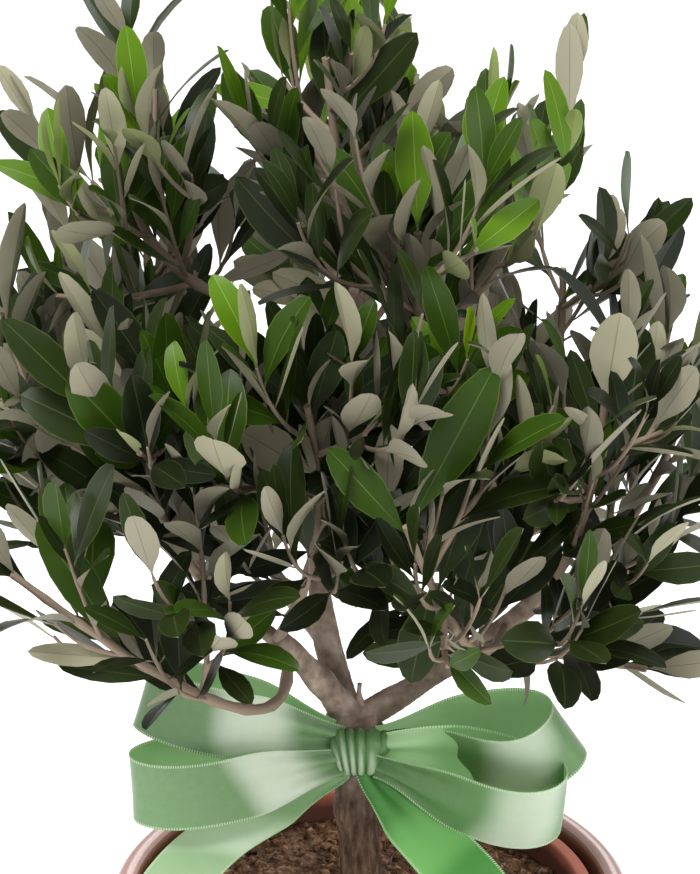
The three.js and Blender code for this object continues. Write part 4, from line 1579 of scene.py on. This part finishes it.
    def grow_wood(self) -> None:
        """Grows the stems, their side twigs as in the solids, and finer shoots on both."""
        for index, (name, mass) in enumerate(MASSES.items()):
            random = Numbers.of(self.stem_seeds, index)
            stem = self.wood.paths[name]
            self._remember(Twig(stem, self.stem_radius, self.twig_radius, 0, name, 1))
            turn = random.next() * math.pi
            for i in range(mass.twigs):
                along = mix(0.22, 0.92, (i + 0.4 * random.next()) / mass.twigs)
                angle = math.radians(self.twig_angle + (random.next() - 0.5) * 16)
                heading = standing_off(stem.heading(along), self.twig_lean, turn + i * TWIG_TURN, angle)
                wanted = self.twig_length * (0.85 + 0.3 * random.next())
                path = self._twig_path(stem.at(along), heading, wanted, 0.45, partial(self._for_twig, name))
                if path:
                    self._remember(Twig(path, self.twig_radius, self.twig_radius * self.twig_taper, 1, name))
        for index, twig in enumerate([twig for twig in self.twigs if twig.order < 2]):
            self._grow_shoots(twig, Numbers.of(self.shoot_seeds, index))

    def _grow_shoots(self, twig: Twig, random: Numbers) -> None:
        """Grows finer shoots on a stem or a side twig, which turn up to the light and are fewer high up.

        Args:
            twig: the stem or side twig.
            random: its own numbers.
        """
        count = 6 if twig.order == 0 else 3
        turn = random.next() * TURN
        for i in range(count):
            along = mix(0.28, 0.92, (i + 0.7 * random.next()) / count)
            sparse = 0.55 * ease(twig.path.at(along).z, 330, 440)
            if random.next() < sparse:
                continue
            angle = math.radians(random.between(28, 46))
            heading = standing_off(twig.path.heading(along), LEAN, turn + i * TWIG_TURN, angle)
            wanted = self.shoot_length * random.between(0.75, 1.4)
            fits = partial(self._for_shoot, twig.mass)
            path = self._twig_path(twig.path.at(along), heading, wanted, 0.8, fits, 1.1)
            if path:
                self._remember(Twig(path, *self.shoot_radii, 2, twig.mass))
                twig.bear(along)

    def _fits(self, leaf: Leaf, twig: Twig) -> Outline | None:
        """Whether a leaf stays in reach and clear of limbs, leaves and other twigs.

        Args:
            leaf: the leaf.
            twig: the twig that bears it.

        Returns:
            The leaf's outline, or None where it doesn't fit.
        """
        outline = Outline.of(leaf)
        for place in outline.places():
            if not (self.in_reach(place, twig.mass) and self.off_limbs(place) and self.in_leaf(place)):
                return None
        if not self.in_leaf(leaf.root + leaf.direction * (leaf.length * 0.8)) or self.hides(outline):
            return None
        if any(outline.meets(other, self.leaf_apart) for other in self.outlines.near(outline.middle)):
            return None
        for start, end, other in self.sticks.near(outline.middle):
            if other is not twig and outline.pierced_by(start, end):
                return None
        return outline

    def grow_leaves(self) -> None:
        """Grows the leaves that stand out, and then crossed pairs on every twig, finest twigs first."""
        for mass, feature in ((mass, feature) for mass, features in FEATURES.items() for feature in features):
            leaf = feature.leaf(self.wood.paths[mass])
            outline = Outline.of(leaf)
            self.outlines.add(outline.middle, outline)
            self.leaves.append(leaf)
            shares = (0.1, 0.3, 0.5, 0.7, 0.95)
            self._keep_in_sight(leaf.root + leaf.direction * (leaf.length * share) for share in shares)
            self._keep_in_sight((outline.left, outline.right))
        for name, start, end in SIGHTS:
            self._keep_in_sight(self.wood.paths[name].at(mix(start, end, i / 20)) for i in range(21))
        self._keep_in_sight(KNOT + v(x, 0, z) for x in (-24, -12, 0, 12, 24) for z in (-8, 0, 8, 16))
        for index, twig in enumerate(sorted(self.twigs, key=lambda one: -one.order)):
            self._leaf_twig(twig, Numbers.of(self.leaf_seeds, index))
        LOG.info("crown: %d twigs, %d leaves", len(self.twigs), len(self.leaves))

    def _keep_in_sight(self, places: Iterable[Vector]) -> None:
        """Notes places that no later leaf may hide."""
        self.sights += [(place, (place - EYE).normalized()) for place in places]

    def _leaf_twig(self, twig: Twig, random: Numbers) -> None:
        """Grows the leaves of one twig, each turned and shortened a few times before it is skipped.

        Args:
            twig: the twig.
            random: its own numbers.
        """
        first = self.bare[twig.order]
        pairs = max(1, round(twig.path.length * (1 - first) / self.leaf_step))
        turn = random.next() * math.pi
        youth = self._youth(twig, random)
        for i in range(2 * (pairs + 1)):
            pair, last = i // 2, i // 2 == pairs
            along = min(0.985, mix(first, 1, pair / pairs))
            spin = turn + (pair + 2 * (i % 2)) * (math.pi / 2)
            for attempt in range(self.leaf_tries):
                leaf = self._try_leaf(twig, along, spin, last, attempt, random)
                outline = self._fits(leaf, twig)
                if outline:
                    self._shape(leaf, youth + (0.12 if last else 0), random)
                    self.outlines.add(outline.middle, outline)
                    self.leaves.append(leaf)
                    twig.bear(along)
                    break

    def _try_leaf(
        self, twig: Twig, along: float, spin: float, last: bool, attempt: int, random: Numbers
    ) -> Leaf:
        """A leaf that may grow on a twig, smaller and more loosely placed at each attempt.

        Args:
            twig: the twig.
            along: the share of its length where the leaf grows.
            spin: how far round the twig the leaf grows, in radians.
            last: whether the leaf is of the pair at the twig's end.
            attempt: how many leaves were tried there before.
            random: the twig's own numbers.

        Returns:
            The leaf.
        """
        heading = twig.path.heading(along)
        loose = self.looseness[0] + self.looseness[1] * attempt
        spin += (random.next() - 0.5) * 2 * loose
        angle = math.radians(self.end_angle if last else mix(*self.leaf_angles, along))
        angle += (random.next() - 0.5) * loose
        size = random.between(*self.leaf_sizes) * (1 - 0.04 * attempt) * (self.end_size if last else 1)
        rise = mix(0.1, 0.6, ease(twig.path.at(0.5).z, 290, 400))
        direction = (standing_off(heading, LEAN, spin, angle) + v(0, 0, rise)).normalized()
        sway = v(random.next() - 0.5, random.next() - 0.5, random.next() - 0.5)
        up = squared((heading + v(0, 0, 0.15) + sway * 0.5).normalized(), direction)
        length = self.leaf_length * size
        slim = self.leaf_slim * random.between(0.86, 1.2)
        return Leaf(twig.path.at(along), direction, up, length, length / slim)

    def _youth(self, twig: Twig, random: Numbers) -> float:
        """How young a spray is: younger high up and far out in the crown, and by chance.

        Args:
            twig: the twig that bears it.
            random: the twig's own numbers.

        Returns:
            A number, from about 0 for an old spray to 1 for a young one.
        """
        tip = twig.path.at(1)
        height = ease(tip.z, 300, 500)
        return 0.3 * height + 0.16 * self.share(tip) + random.between(-0.2, 0.42) + 0.06 * twig.order

    @staticmethod
    def _shape(leaf: Leaf, youth: float, random: Numbers) -> None:
        """Gives a leaf the tone of its spray and a shape of its own.

        Args:
            leaf: the leaf.
            youth: how young its spray is.
            random: its twig's own numbers.
        """
        youth += random.between(-0.07, 0.07)
        limits = zip(Tone, (0.3, 0.56, 0.76, 0.92, math.inf))
        leaf.tone = next(tone for tone, limit in limits if youth < limit)
        leaf.fold = random.between(0.05, 0.38)
        leaf.bend = random.between(-0.25, 0.75)
        leaf.twist = random.between(-0.35, 0.35)

    def build(self) -> None:
        """Makes the twigs that bear anything, and the leaves."""
        lines = [(self._twig_line(twig), 0 if twig.order < 2 else 1) for twig in self.twigs if twig.end]
        barks = [Paint("twig_bark", (0.27, 0.205, 0.15), 0.7), Paint("shoot_bark", (0.235, 0.235, 0.12), 0.6)]
        new_piece("twigs", mesh_of_lines(lines), barks, [])
        blade = Blade()
        groups = {"leaves_front": [], "leaves_back": []}
        for leaf in self.leaves:
            groups["leaves_front" if leaf.root.y < 0 else "leaves_back"].append(leaf)
        paints = blade.paints()
        for name, leaves in groups.items():
            new_piece(name, blade.mesh(leaves), paints, list(MASSES))

    @staticmethod
    def _twig_line(twig: Twig) -> list[tuple[Vector, float]]:
        """A twig's places with their radii, which swell at every third place for a node.

        Args:
            twig: the twig.

        Returns:
            The places and radii, up to the last thing that it bears.
        """
        spans = max(4, round(twig.path.length * twig.end / 5))
        points = []
        for i in range(spans + 1):
            swelling = 1.22 if i % 3 == 0 and i else 1.0
            radius = mix(twig.foot, twig.tip, i / spans) * swelling
            points.append((twig.path.at(i / spans * twig.end), radius))
        return points


class Blade:
    """The leaf that every leaf is a bent copy of: an upper and a lower face that meet at the edge."""

    COLUMNS = (-1, -0.95, -0.034, 0.034, 0.95, 1)
    ROWS = (0, 0.09, 0.2, 0.35, 0.52, 0.69, 0.84, 0.95, 1)
    STALK = 0.09
    THICKNESS = 0.35
    # What a tone's colours are for, in their order, with roughness and gloss.
    KINDS = (("", 0.36, 0.18), ("_rib", 0.45, 0.3), ("_under", 0.62, 0.3), ("_under_rib", 0.6, 0.3))

    def __init__(self) -> None:
        """Makes the template with its faces sorted into kinds: a face and its rib, above and below."""
        work = bmesh.new()
        columns, rows = len(self.COLUMNS) - 1, len(self.ROWS) - 1
        bmesh.ops.create_grid(work, x_segments=columns, y_segments=rows, size=1)
        for vert in work.verts:
            across = self.COLUMNS[round((vert.co.x + 1) / 2 * columns)]
            vert.co = (across, self.ROWS[round((vert.co.y + 1) / 2 * rows)], 0)
        under = bmesh.ops.duplicate(work, geom=work.verts[:] + work.edges[:] + work.faces[:])["geom"]
        faces = [part for part in under if isinstance(part, bmesh.types.BMFace)]
        bmesh.ops.reverse_faces(work, faces=faces)
        for face in faces:
            face.material_index = 2
        for vert in work.verts:
            if abs(vert.co.x) < 1 and 0 < vert.co.y < 1:
                vert.co.z = -1 if any(face.material_index == 2 for face in vert.link_faces) else 1
        bmesh.ops.remove_doubles(work, verts=work.verts, dist=1e-4)
        for face in work.faces:
            middle = face.calc_center_median()
            margin = abs(middle.x) > 0.95 and face.material_index == 0
            if abs(middle.x) < 0.1 or middle.y < 0.1 or margin:
                face.material_index += 1
        self.kinds = np.array([face.material_index for face in work.faces])
        self.template, self.faces = arrays_of(work)

    @classmethod
    def paints(cls) -> list[bpy.types.Material]:
        """The plain colours of every tone, four for each.

        Returns:
            The materials, in the order of the leaves' slots.
        """
        made = []
        for tone in Tone:
            for colour, (kind, roughness, gloss) in zip(tone.value, cls.KINDS):
                made.append(Paint(f"leaf_{tone.name.lower()}{kind}", colour, roughness, gloss).dress())
        return made

    @classmethod
    def _half_width(cls, along: np.ndarray) -> np.ndarray:
        """The leaf's half width, which is least along its stalk.

        Args:
            along: shares of its length.

        Returns:
            Shares of its greatest half width.
        """
        blade = np.clip((along - cls.STALK) / (1 - cls.STALK), 0, 1)
        wide = np.clip(np.sin(math.pi * blade**1.18), 0, 1) ** (1 - 0.5 * blade)
        return np.maximum(wide, np.where(along < 0.97, 0.06, 0.03))

    def mesh(self, leaves: list[Leaf]) -> bpy.types.Mesh:
        """Joins copies of the template, each folded along its rib, bent and twisted.

        Args:
            leaves: the leaves to make.

        Returns:
            The mesh, with each face in the slot of its tone and kind.
        """
        across, along, face = self.template.T
        keys = ("length", "width", "fold", "bend", "twist")
        columns = (np.array([[getattr(leaf, key)] for leaf in leaves]) for key in keys)
        length, width, fold, bend, twist = columns
        x = across * (width / 2) * self._half_width(along)
        groove = np.where(np.abs(across) < 0.1, np.where(face > 0, -0.12, -0.3), 0.0)
        z = np.abs(x) * fold - x**2 * 0.012 + face * self.THICKNESS * (1 - np.abs(across)) / 2 + groove
        turn = bend * along
        curved = np.where(np.abs(bend) < 1e-3, 1e-3, bend)
        y = length * np.sin(curved * along) / curved + z * np.sin(turn)
        z = -length * (1 - np.cos(curved * along)) / curved + z * np.cos(turn)
        spin = twist * (length * along / length)
        x, z = x * np.cos(spin) - z * np.sin(spin) * 0.2, z + x * np.sin(spin)
        root = np.array([[leaf.root[:]] for leaf in leaves])
        side = np.array([[leaf.side()[:]] for leaf in leaves])
        ahead = np.array([[leaf.direction[:]] for leaf in leaves])
        upward = np.cross(ahead, side)
        places = root + x[..., None] * side + y[..., None] * ahead + z[..., None] * upward
        mesh = mesh_of_copies(places, self.faces)
        tones = list(Tone)
        first = np.array([tones.index(leaf.tone) * len(self.KINDS) for leaf in leaves])
        mesh.polygons.foreach_set("material_index", (first[:, None] + self.kinds[None]).reshape(-1))
        mesh.set_sharp_from_angle(angle=math.radians(75))
        return mesh


RIBBON_WIDTH = 25
KNOT = v(-4.5, -14.5, 228.5)
KNOT_SIZE = v(21, 13, 18)


def gathered(share: float) -> float:
    """The ribbon's width at a share of its length from the knot, where it is drawn together."""
    return RIBBON_WIDTH * mix(0.44, 1, ease(share, 0.0, 0.22))


@dataclass
class Loop:
    """A loop of the bow, which runs out from the knot at the back, turns round and comes back in front."""

    side: int
    turn: float
    rise: float
    length: float
    opening: float
    roll: float
    root: Vector
    # Where the crest of the painted highlight lies, in millimetres along the loop.
    painted_highlight: float
    spread: float = 4
    sag: float = 2
    shoulder: float = 0
    tuck: float = 0
    slant: float = 0

    def __post_init__(self) -> None:
        """Works out which way the loop runs, how it stands and which way it opens."""
        turn, rise = math.radians(self.turn), math.radians(self.rise)
        level = math.cos(rise)
        self.out = v(self.side * math.cos(turn) * level, -math.sin(turn) * level, math.sin(rise))
        wide = v(0, 0, 1)
        wide.rotate(Quaternion(v(1, 0, 0), math.radians(self.roll)))
        self.wide = squared(wide, self.out)
        self.open = (self.out.cross(self.wide) * -self.side).normalized()
        self.start = KNOT + self.root + v(self.side * (KNOT_SIZE.x / 2 - 4), 0, 0)
        self.path = Path(self._curve)

    def _curve(self, share: float) -> Vector:
        """The middle of the ribbon round the loop.

        Args:
            share: how far round the loop, from 0 to 1.

        Returns:
            The place.
        """
        turn = TURN * share
        out = self.length * (1 - math.cos(turn)) / 2
        opened = 0.6 * self.opening * math.sin(turn) * math.sin(math.pi * share) ** 1.8
        opened += self.spread * math.cos(math.pi * share)
        hang = self.sag * math.sin(math.pi * ease(share, 0.46, 0.92))
        hump = self.shoulder * math.sin(math.pi * ease(share, -0.06, 0.42))
        opened += self.tuck * math.sin(math.pi * ease(share, 0.6, 1.08)) - hump
        return self.start + self.out * out + self.open * opened + v(0, 0, hump - hang)

    def _across(self, along: float) -> Vector:
        """The direction across the ribbon: upright, and leaning at the loop's end.

        Args:
            along: the share of the loop's length.

        Returns:
            The direction.
        """
        wide = self.wide.copy()
        wide.rotate(Quaternion(self.open, math.radians(self.slant) * math.sin(math.pi * along) ** 2))
        return squared(wide, self.path.heading(along))

    def place(self, across: float, along: float) -> Vector:
        """A place on the ribbon, which is pleated near the knot and slightly crowned further out.

        Args:
            across: the share of its width, from -0.5 to 0.5.
            along: the share of its length, from 0 to 1.

        Returns:
            The place.
        """
        near = min(along, 1 - along)
        wide = self._across(along)
        face = wide.cross(self.path.heading(along)).normalized()
        pleats = math.cos(across * 1.8 * TURN + 0.9) * 1.4 * (1 - ease(near, 0.02, 0.3))
        crown = 0.9 * (0.25 - across**2) * ease(near, 0.1, 0.4)
        return self.path.at(along) + wide * (across * gathered(near)) + face * (pleats + crown)


@dataclass
class Tail:
    """A tail of the bow, which runs down and forwards from the knot and hangs over the rim."""

    steps: Sequence[tuple[float, float, float]]
    slant: float
    tilt: float
    # Where the crest of the painted highlight lies, in millimetres along the tail.
    painted_highlight: float
    side: int

    def __post_init__(self) -> None:
        """Lays the tail's course from the knot."""
        self.path = Path.through([KNOT + v(*step) for step in self.steps])

    def _across(self, along: float) -> Vector:
        """The direction across the tail: level, and then tilted round the way it heads.

        Args:
            along: the share of the tail's length.

        Returns:
            The direction.
        """
        level = self.path.heading(min(along, 0.6))
        heading = self.path.heading(along)
        side = squared(v(-level.y, level.x, 0), heading)
        side.rotate(Quaternion(heading, math.radians(self.tilt)))
        return side

    def place(self, across: float, along: float) -> Vector:
        """A place on the ribbon, which is pleated near the knot, waves further out and is cut on a slant.

        Args:
            across: the share of its width, from -0.5 to 0.5.
            along: the share of its length, from 0 to 1.

        Returns:
            The place.
        """
        along *= 1 - self.slant * (0.5 + across) * min(1.0, along * 2)
        side = self._across(along)
        face = side.cross(self.path.heading(along)).normalized()
        pleats = math.cos(across * 2.5 * TURN) * 1.0 * (1 - ease(along, 0.02, 0.3))
        wave = 0.8 * math.sin(along * 9 + across * 2) * ease(along, 0.2, 0.5)
        return self.path.at(along) + side * (across * gathered(along)) + face * (pleats + wave)


# Each loop's last positional number places the crest of its painted highlight, in millimetres along the loop.
LOOPS = {
    "ribbon_loop_left_lower": Loop(-1, 12, -2, 77, 25, -4, v(0, 0, -3), 144),
    "ribbon_loop_left_upper": Loop(-1, 5, 17, 75, 24, -10, v(0, 4, 3.2), 130),
    "ribbon_loop_right_lower": Loop(1, 17, -6, 70, 28, 8, v(0, 0, -3), 102, sag=2.5, shoulder=9),
    "ribbon_loop_right_upper": Loop(
        1, 11, 9.5, 71, 26, 16, v(0, 4, 1), 103, spread=2.5, sag=4.5, tuck=6, slant=-20
    ),
}
# Places down the middle of each tail, from the knot on.
LEFT_STEPS = (
    (-3, 4, -5), (-7, 4, -10.5), (-27.5, 2, -21), (-49.5, -11, -28.5), (-63.5, -28, -35),
    (-73, -47, -45), (-79, -61, -60), (-82, -67, -80), (-83, -69, -100),
)
RIGHT_STEPS = (
    (2, 2, -4), (6, -2, -11), (17.5, -12, -19.5), (29, -27, -25.5), (39.5, -45, -29.5),
    (48, -64, -35), (53.5, -79, -48), (56.5, -87, -70), (57.5, -89, -95),
)
# Each tail's highlight number places the crest of its painted highlight, in millimetres along the tail.
TAILS = {
    "ribbon_tail_left": Tail(LEFT_STEPS, slant=0.1, tilt=-10, painted_highlight=54, side=-1),
    "ribbon_tail_right": Tail(RIGHT_STEPS, slant=-0.1, tilt=12, painted_highlight=40, side=1),
}


@dataclass
class Ribbon:
    """The satin ribbon: a band round the trunk, the knot, four loops and two tails."""

    thickness: float = 0.35
    spans_across: int = 14
    band_height: float = 13.5
    band_share: float = 0.865
    loops: dict[str, Loop] = field(default_factory=lambda: LOOPS)
    tails: dict[str, Tail] = field(default_factory=lambda: TAILS)

    def places(self) -> list[Vector]:
        """Places all over the ribbon, for the foliage to keep off.

        Returns:
            The places.
        """
        strips = [*self.loops.values(), *self.tails.values()]
        spots = [(across / 4, along / 20) for across in (-2, -1, 0, 1, 2) for along in range(21)]
        return [strip.place(*spot) for strip in strips for spot in spots]

    def build(self) -> None:
        """Makes every piece of the ribbon, with the left loops and tail in paler light than the rest."""
        face = Satin().dress()
        # The left loops' paler satin is painted light, a lit copy of the face.
        pale = Satin("satin_pale", (0.11, 0.24, 0.08), (0.62, 0.71, 0.56)).dress()
        # The left tail's paler, glowing satin is painted light that lifts it out of the loop's shadow.
        bright = Satin("satin_bright", (0.3, 0.45, 0.25), (0.66, 0.76, 0.6), glow=0.1).dress()
        # The back is rougher, duller satin; its saturated green is painted light, as if passed through the
        # ribbon.
        back = Satin("satin_back", (0.06, 0.25, 0.045), (0.17, 0.46, 0.12), 0.5).dress()
        # The loops' inner faces glow with painted light, as if shining through the loop.
        inner = Satin("satin_inner", (0.14, 0.3, 0.1), (0.28, 0.44, 0.22), 0.5, 0.17).dress()
        for name, strip in self.loops.items():
            worn = [face if strip.side > 0 else pale, inner]
            new_piece(name + "_satin", self._strip(strip, 110), worn, [name])
        for name, strip in self.tails.items():
            worn = [face if strip.side > 0 else bright, back]
            new_piece(name + "_satin", self._strip(strip, 70), worn, [name])
        self._knot(face)
        self._band(face)

    def _strip(self, strip: Loop | Tail, spans: int) -> bpy.types.Mesh:
        """Makes one strip of ribbon with its thickness and its own map.

        Args:
            strip: the loop or tail.
            spans: faces along it.

        Returns:
            The mesh, with its satin face in the first slot and its back in the second.
        """
        work = bmesh.new()
        bmesh.ops.create_grid(work, x_segments=self.spans_across, y_segments=spans, size=0.5)
        # The map starts where the strip's painted highlight crests.
        cloth = work.loops.layers.uv.new(CLOTH)
        for side in work.faces:
            for loop in side.loops:
                run = (loop.vert.co.y + 0.5) * strip.path.length - strip.painted_highlight
                loop[cloth].uv = (loop.vert.co.x * RIBBON_WIDTH * MM, run * MM)
        for vert in work.verts:
            vert.co = strip.place(vert.co.x, vert.co.y + 0.5)
        if strip.side < 0:
            bmesh.ops.reverse_faces(work, faces=work.faces)
        work.normal_update()
        fronts = set(work.faces)
        bmesh.ops.solidify(work, geom=work.faces[:], thickness=self.thickness)
        for side in work.faces:
            side.material_index = 0 if side in fronts else 1
        return finish_mesh(work, sharp=60)

    def _knot(self, satin: bpy.types.Material) -> None:
        """Makes the knot: the ribbon's own end, wrapped over the strips and drawn into pleats.

        Args:
            satin: what it wears. Its map puts the crest of the painted highlight on a pleat, brightest low on
                the knot, and painted shade, the dark body colour, in a crease.
        """
        work = bmesh.new()
        bmesh.ops.create_uvsphere(work, u_segments=72, v_segments=120, radius=1)
        cloth = work.loops.layers.uv.new(CLOTH)
        for side in work.faces:
            for loop in side.loops:
                share, up, _ = self._knot_turn(loop.vert.co)
                # The map paints the highlight on pleats low on the knot and paints shade in the creases.
                run = 0.001 + 0.009 * (1 + up) + 0.024 * (1 - self._knot_fold(share, up))
                loop[cloth].uv = (share * 0.01, run)
        for vert in work.verts:
            vert.co = self._knot_place(vert.co)
        new_piece("ribbon_knot_satin", finish_mesh(work), [satin], ["ribbon_knot"])

    @staticmethod
    def _knot_turn(ball: Vector) -> tuple[float, float, float]:
        """Where a point of a ball lies on a roll on its side.

        Args:
            ball: the point of a ball of radius 1.

        Returns:
            Its share along the roll, and how far up and how far back it faces.
        """
        share = math.asin(max(-1.0, min(1.0, ball.z))) / (math.pi / 2)
        size = math.hypot(ball.x, ball.y)
        return (share, ball.x / size, ball.y / size) if size > 1e-4 else (share, 0.0, 0.0)

    @staticmethod
    def _knot_fold(share: float, up: float) -> float:
        """How high the knot's pleats stand, from 0 in a crease to 1."""
        phase = 2.4 * math.pi * share + 1.3 * math.sin(2.6 * share + 0.9) + 1.1 * up
        return abs(math.sin(phase)) ** 0.6

    def _knot_place(self, ball: Vector) -> Vector:
        """Where a point of a ball lies on the knot, whose pleats fan out upwards.

        Args:
            ball: the point of a ball of radius 1.

        Returns:
            The place.
        """
        share, up, back = self._knot_turn(ball)
        roll = (1 - abs(share) ** 7) ** 0.5 * (0.84 + 0.18 * self._knot_fold(share, up))
        half = KNOT_SIZE / 2
        across = share * half.x * (0.92 + 0.2 * up) + 0.8 * up
        return KNOT + v(across, back * roll * half.y, up * roll * half.z)

    def _band(self, satin: bpy.types.Material) -> None:
        """Makes the band that goes round the trunk behind the knot, drawn into folds.

        Args:
            satin: what it wears.
        """
        work = bmesh.new()
        centre = trunk_path().at(self.band_share)
        bmesh.ops.create_cone(work, cap_ends=False, segments=72, radius1=1, radius2=1, depth=1)
        edges = [edge for edge in work.edges if upright(edge)]
        bmesh.ops.subdivide_edges(work, edges=edges, cuts=17, use_grid_fill=True)
        cloth = work.loops.layers.uv.new(CLOTH)
        for side in work.faces:
            for loop in side.loops:
                loop[cloth].uv = (loop.vert.co.z * 0.02, math.atan2(loop.vert.co.y, loop.vert.co.x) * 0.01)
        for vert in work.verts:
            turn = math.atan2(vert.co.y, vert.co.x)
            fold = 0.5 * math.sin(vert.co.z * 21 + 1.5 * math.sin(turn)) + 0.25 * math.sin(vert.co.z * 37)
            radius = TRUNK_RADIUS + 3.1 + 1.4 * vert.co.z + fold
            height = vert.co.z * self.band_height
            vert.co = centre + v(math.cos(turn) * radius, math.sin(turn) * radius, height)
        work.normal_update()
        bmesh.ops.solidify(work, geom=work.faces[:], thickness=self.thickness)
        new_piece("ribbon_band_satin", finish_mesh(work, sharp=60), [satin], ["ribbon_band"])


@dataclass
class Studio:
    """The camera, the pale floor and the soft lights."""

    look_down: float = 21.37
    lens: float = 121.5
    sensor: float = 36
    near_and_far: tuple[float, float] = (0.05, 60)
    floor_size: float = 9000
    floor_drop: float = 0.4
    ambient: float = 0.5
    aim: Vector = field(default_factory=lambda: v(0, 0, 300))

    def set_camera(self) -> None:
        """Sets the camera at the picture's viewing angle."""
        data = bpy.data.cameras.new("camera")
        data.lens = self.lens
        data.sensor_width = self.sensor
        data.clip_start, data.clip_end = self.near_and_far
        camera = bpy.data.objects.new("camera", data)
        camera.location = EYE * MM
        camera.rotation_euler = (math.radians(90 - self.look_down), 0, 0)
        bpy.context.scene.collection.objects.link(camera)
        bpy.context.scene.camera = camera

    def light(self) -> None:
        """Lays the floor and hangs the lights."""
        scene = bpy.context.scene
        scene.view_settings.view_transform = "Standard"
        work = bmesh.new()
        bmesh.ops.create_grid(work, x_segments=2, y_segments=2, size=self.floor_size)
        floor = bpy.data.objects.new("floor", finish_mesh(work))
        floor.location.z = -self.floor_drop * MM
        floor.data.materials.append(self._pale())
        scene.collection.objects.link(floor)
        world = bpy.data.worlds.new("studio")
        world.use_nodes = True
        colour, strength = world.node_tree.nodes["Background"].inputs[:2]
        colour.default_value = (1, 1, 1, 1)
        strength.default_value = self.ambient
        scene.world = world
        self._panel("key", v(-500, -1000, 1800), 800, 36)
        self._panel("fill", v(1300, -900, 900), 800, 9)
        self._panel("rim", v(300, 1500, 1500), 1200, 16)

    @staticmethod
    def _pale() -> bpy.types.Material:
        """The floor's white, which glows a little so that it stays plain."""
        glow = {"Emission_Color": (1, 1, 1), "Emission_Strength": 0.35}
        return Shader("floor_white", Base_Color=(0.93, 0.93, 0.93), Roughness=0.8, **glow).material

    def _panel(self, name: str, place: Vector, size: float, power: float) -> None:
        """Hangs a soft square light that faces the crown.

        Args:
            name: the light's name.
            place: where it hangs.
            size: the length of its side.
            power: its power in watts.
        """
        data = bpy.data.lights.new(name, "AREA")
        data.size = size * MM
        data.energy = power
        lamp = bpy.data.objects.new(name, data)
        lamp.location = place * MM
        lamp.rotation_euler = (self.aim - place).to_track_quat("-Z", "Y").to_euler()
        bpy.context.scene.collection.objects.link(lamp)


def main() -> None:
    """Builds the studio and the object's pieces in order."""
    studio = Studio()
    studio.set_camera()
    studio.light()
    Planter().build()
    GrowPot().build()
    Compost().build()
    wood = Wood()
    wood.build()
    ribbon = Ribbon()
    ribbon.build()
    crown = Crown(wood, ribbon.places())
    crown.grow_wood()
    crown.grow_leaves()
    crown.build()


if __name__ == "__main__":
    main()
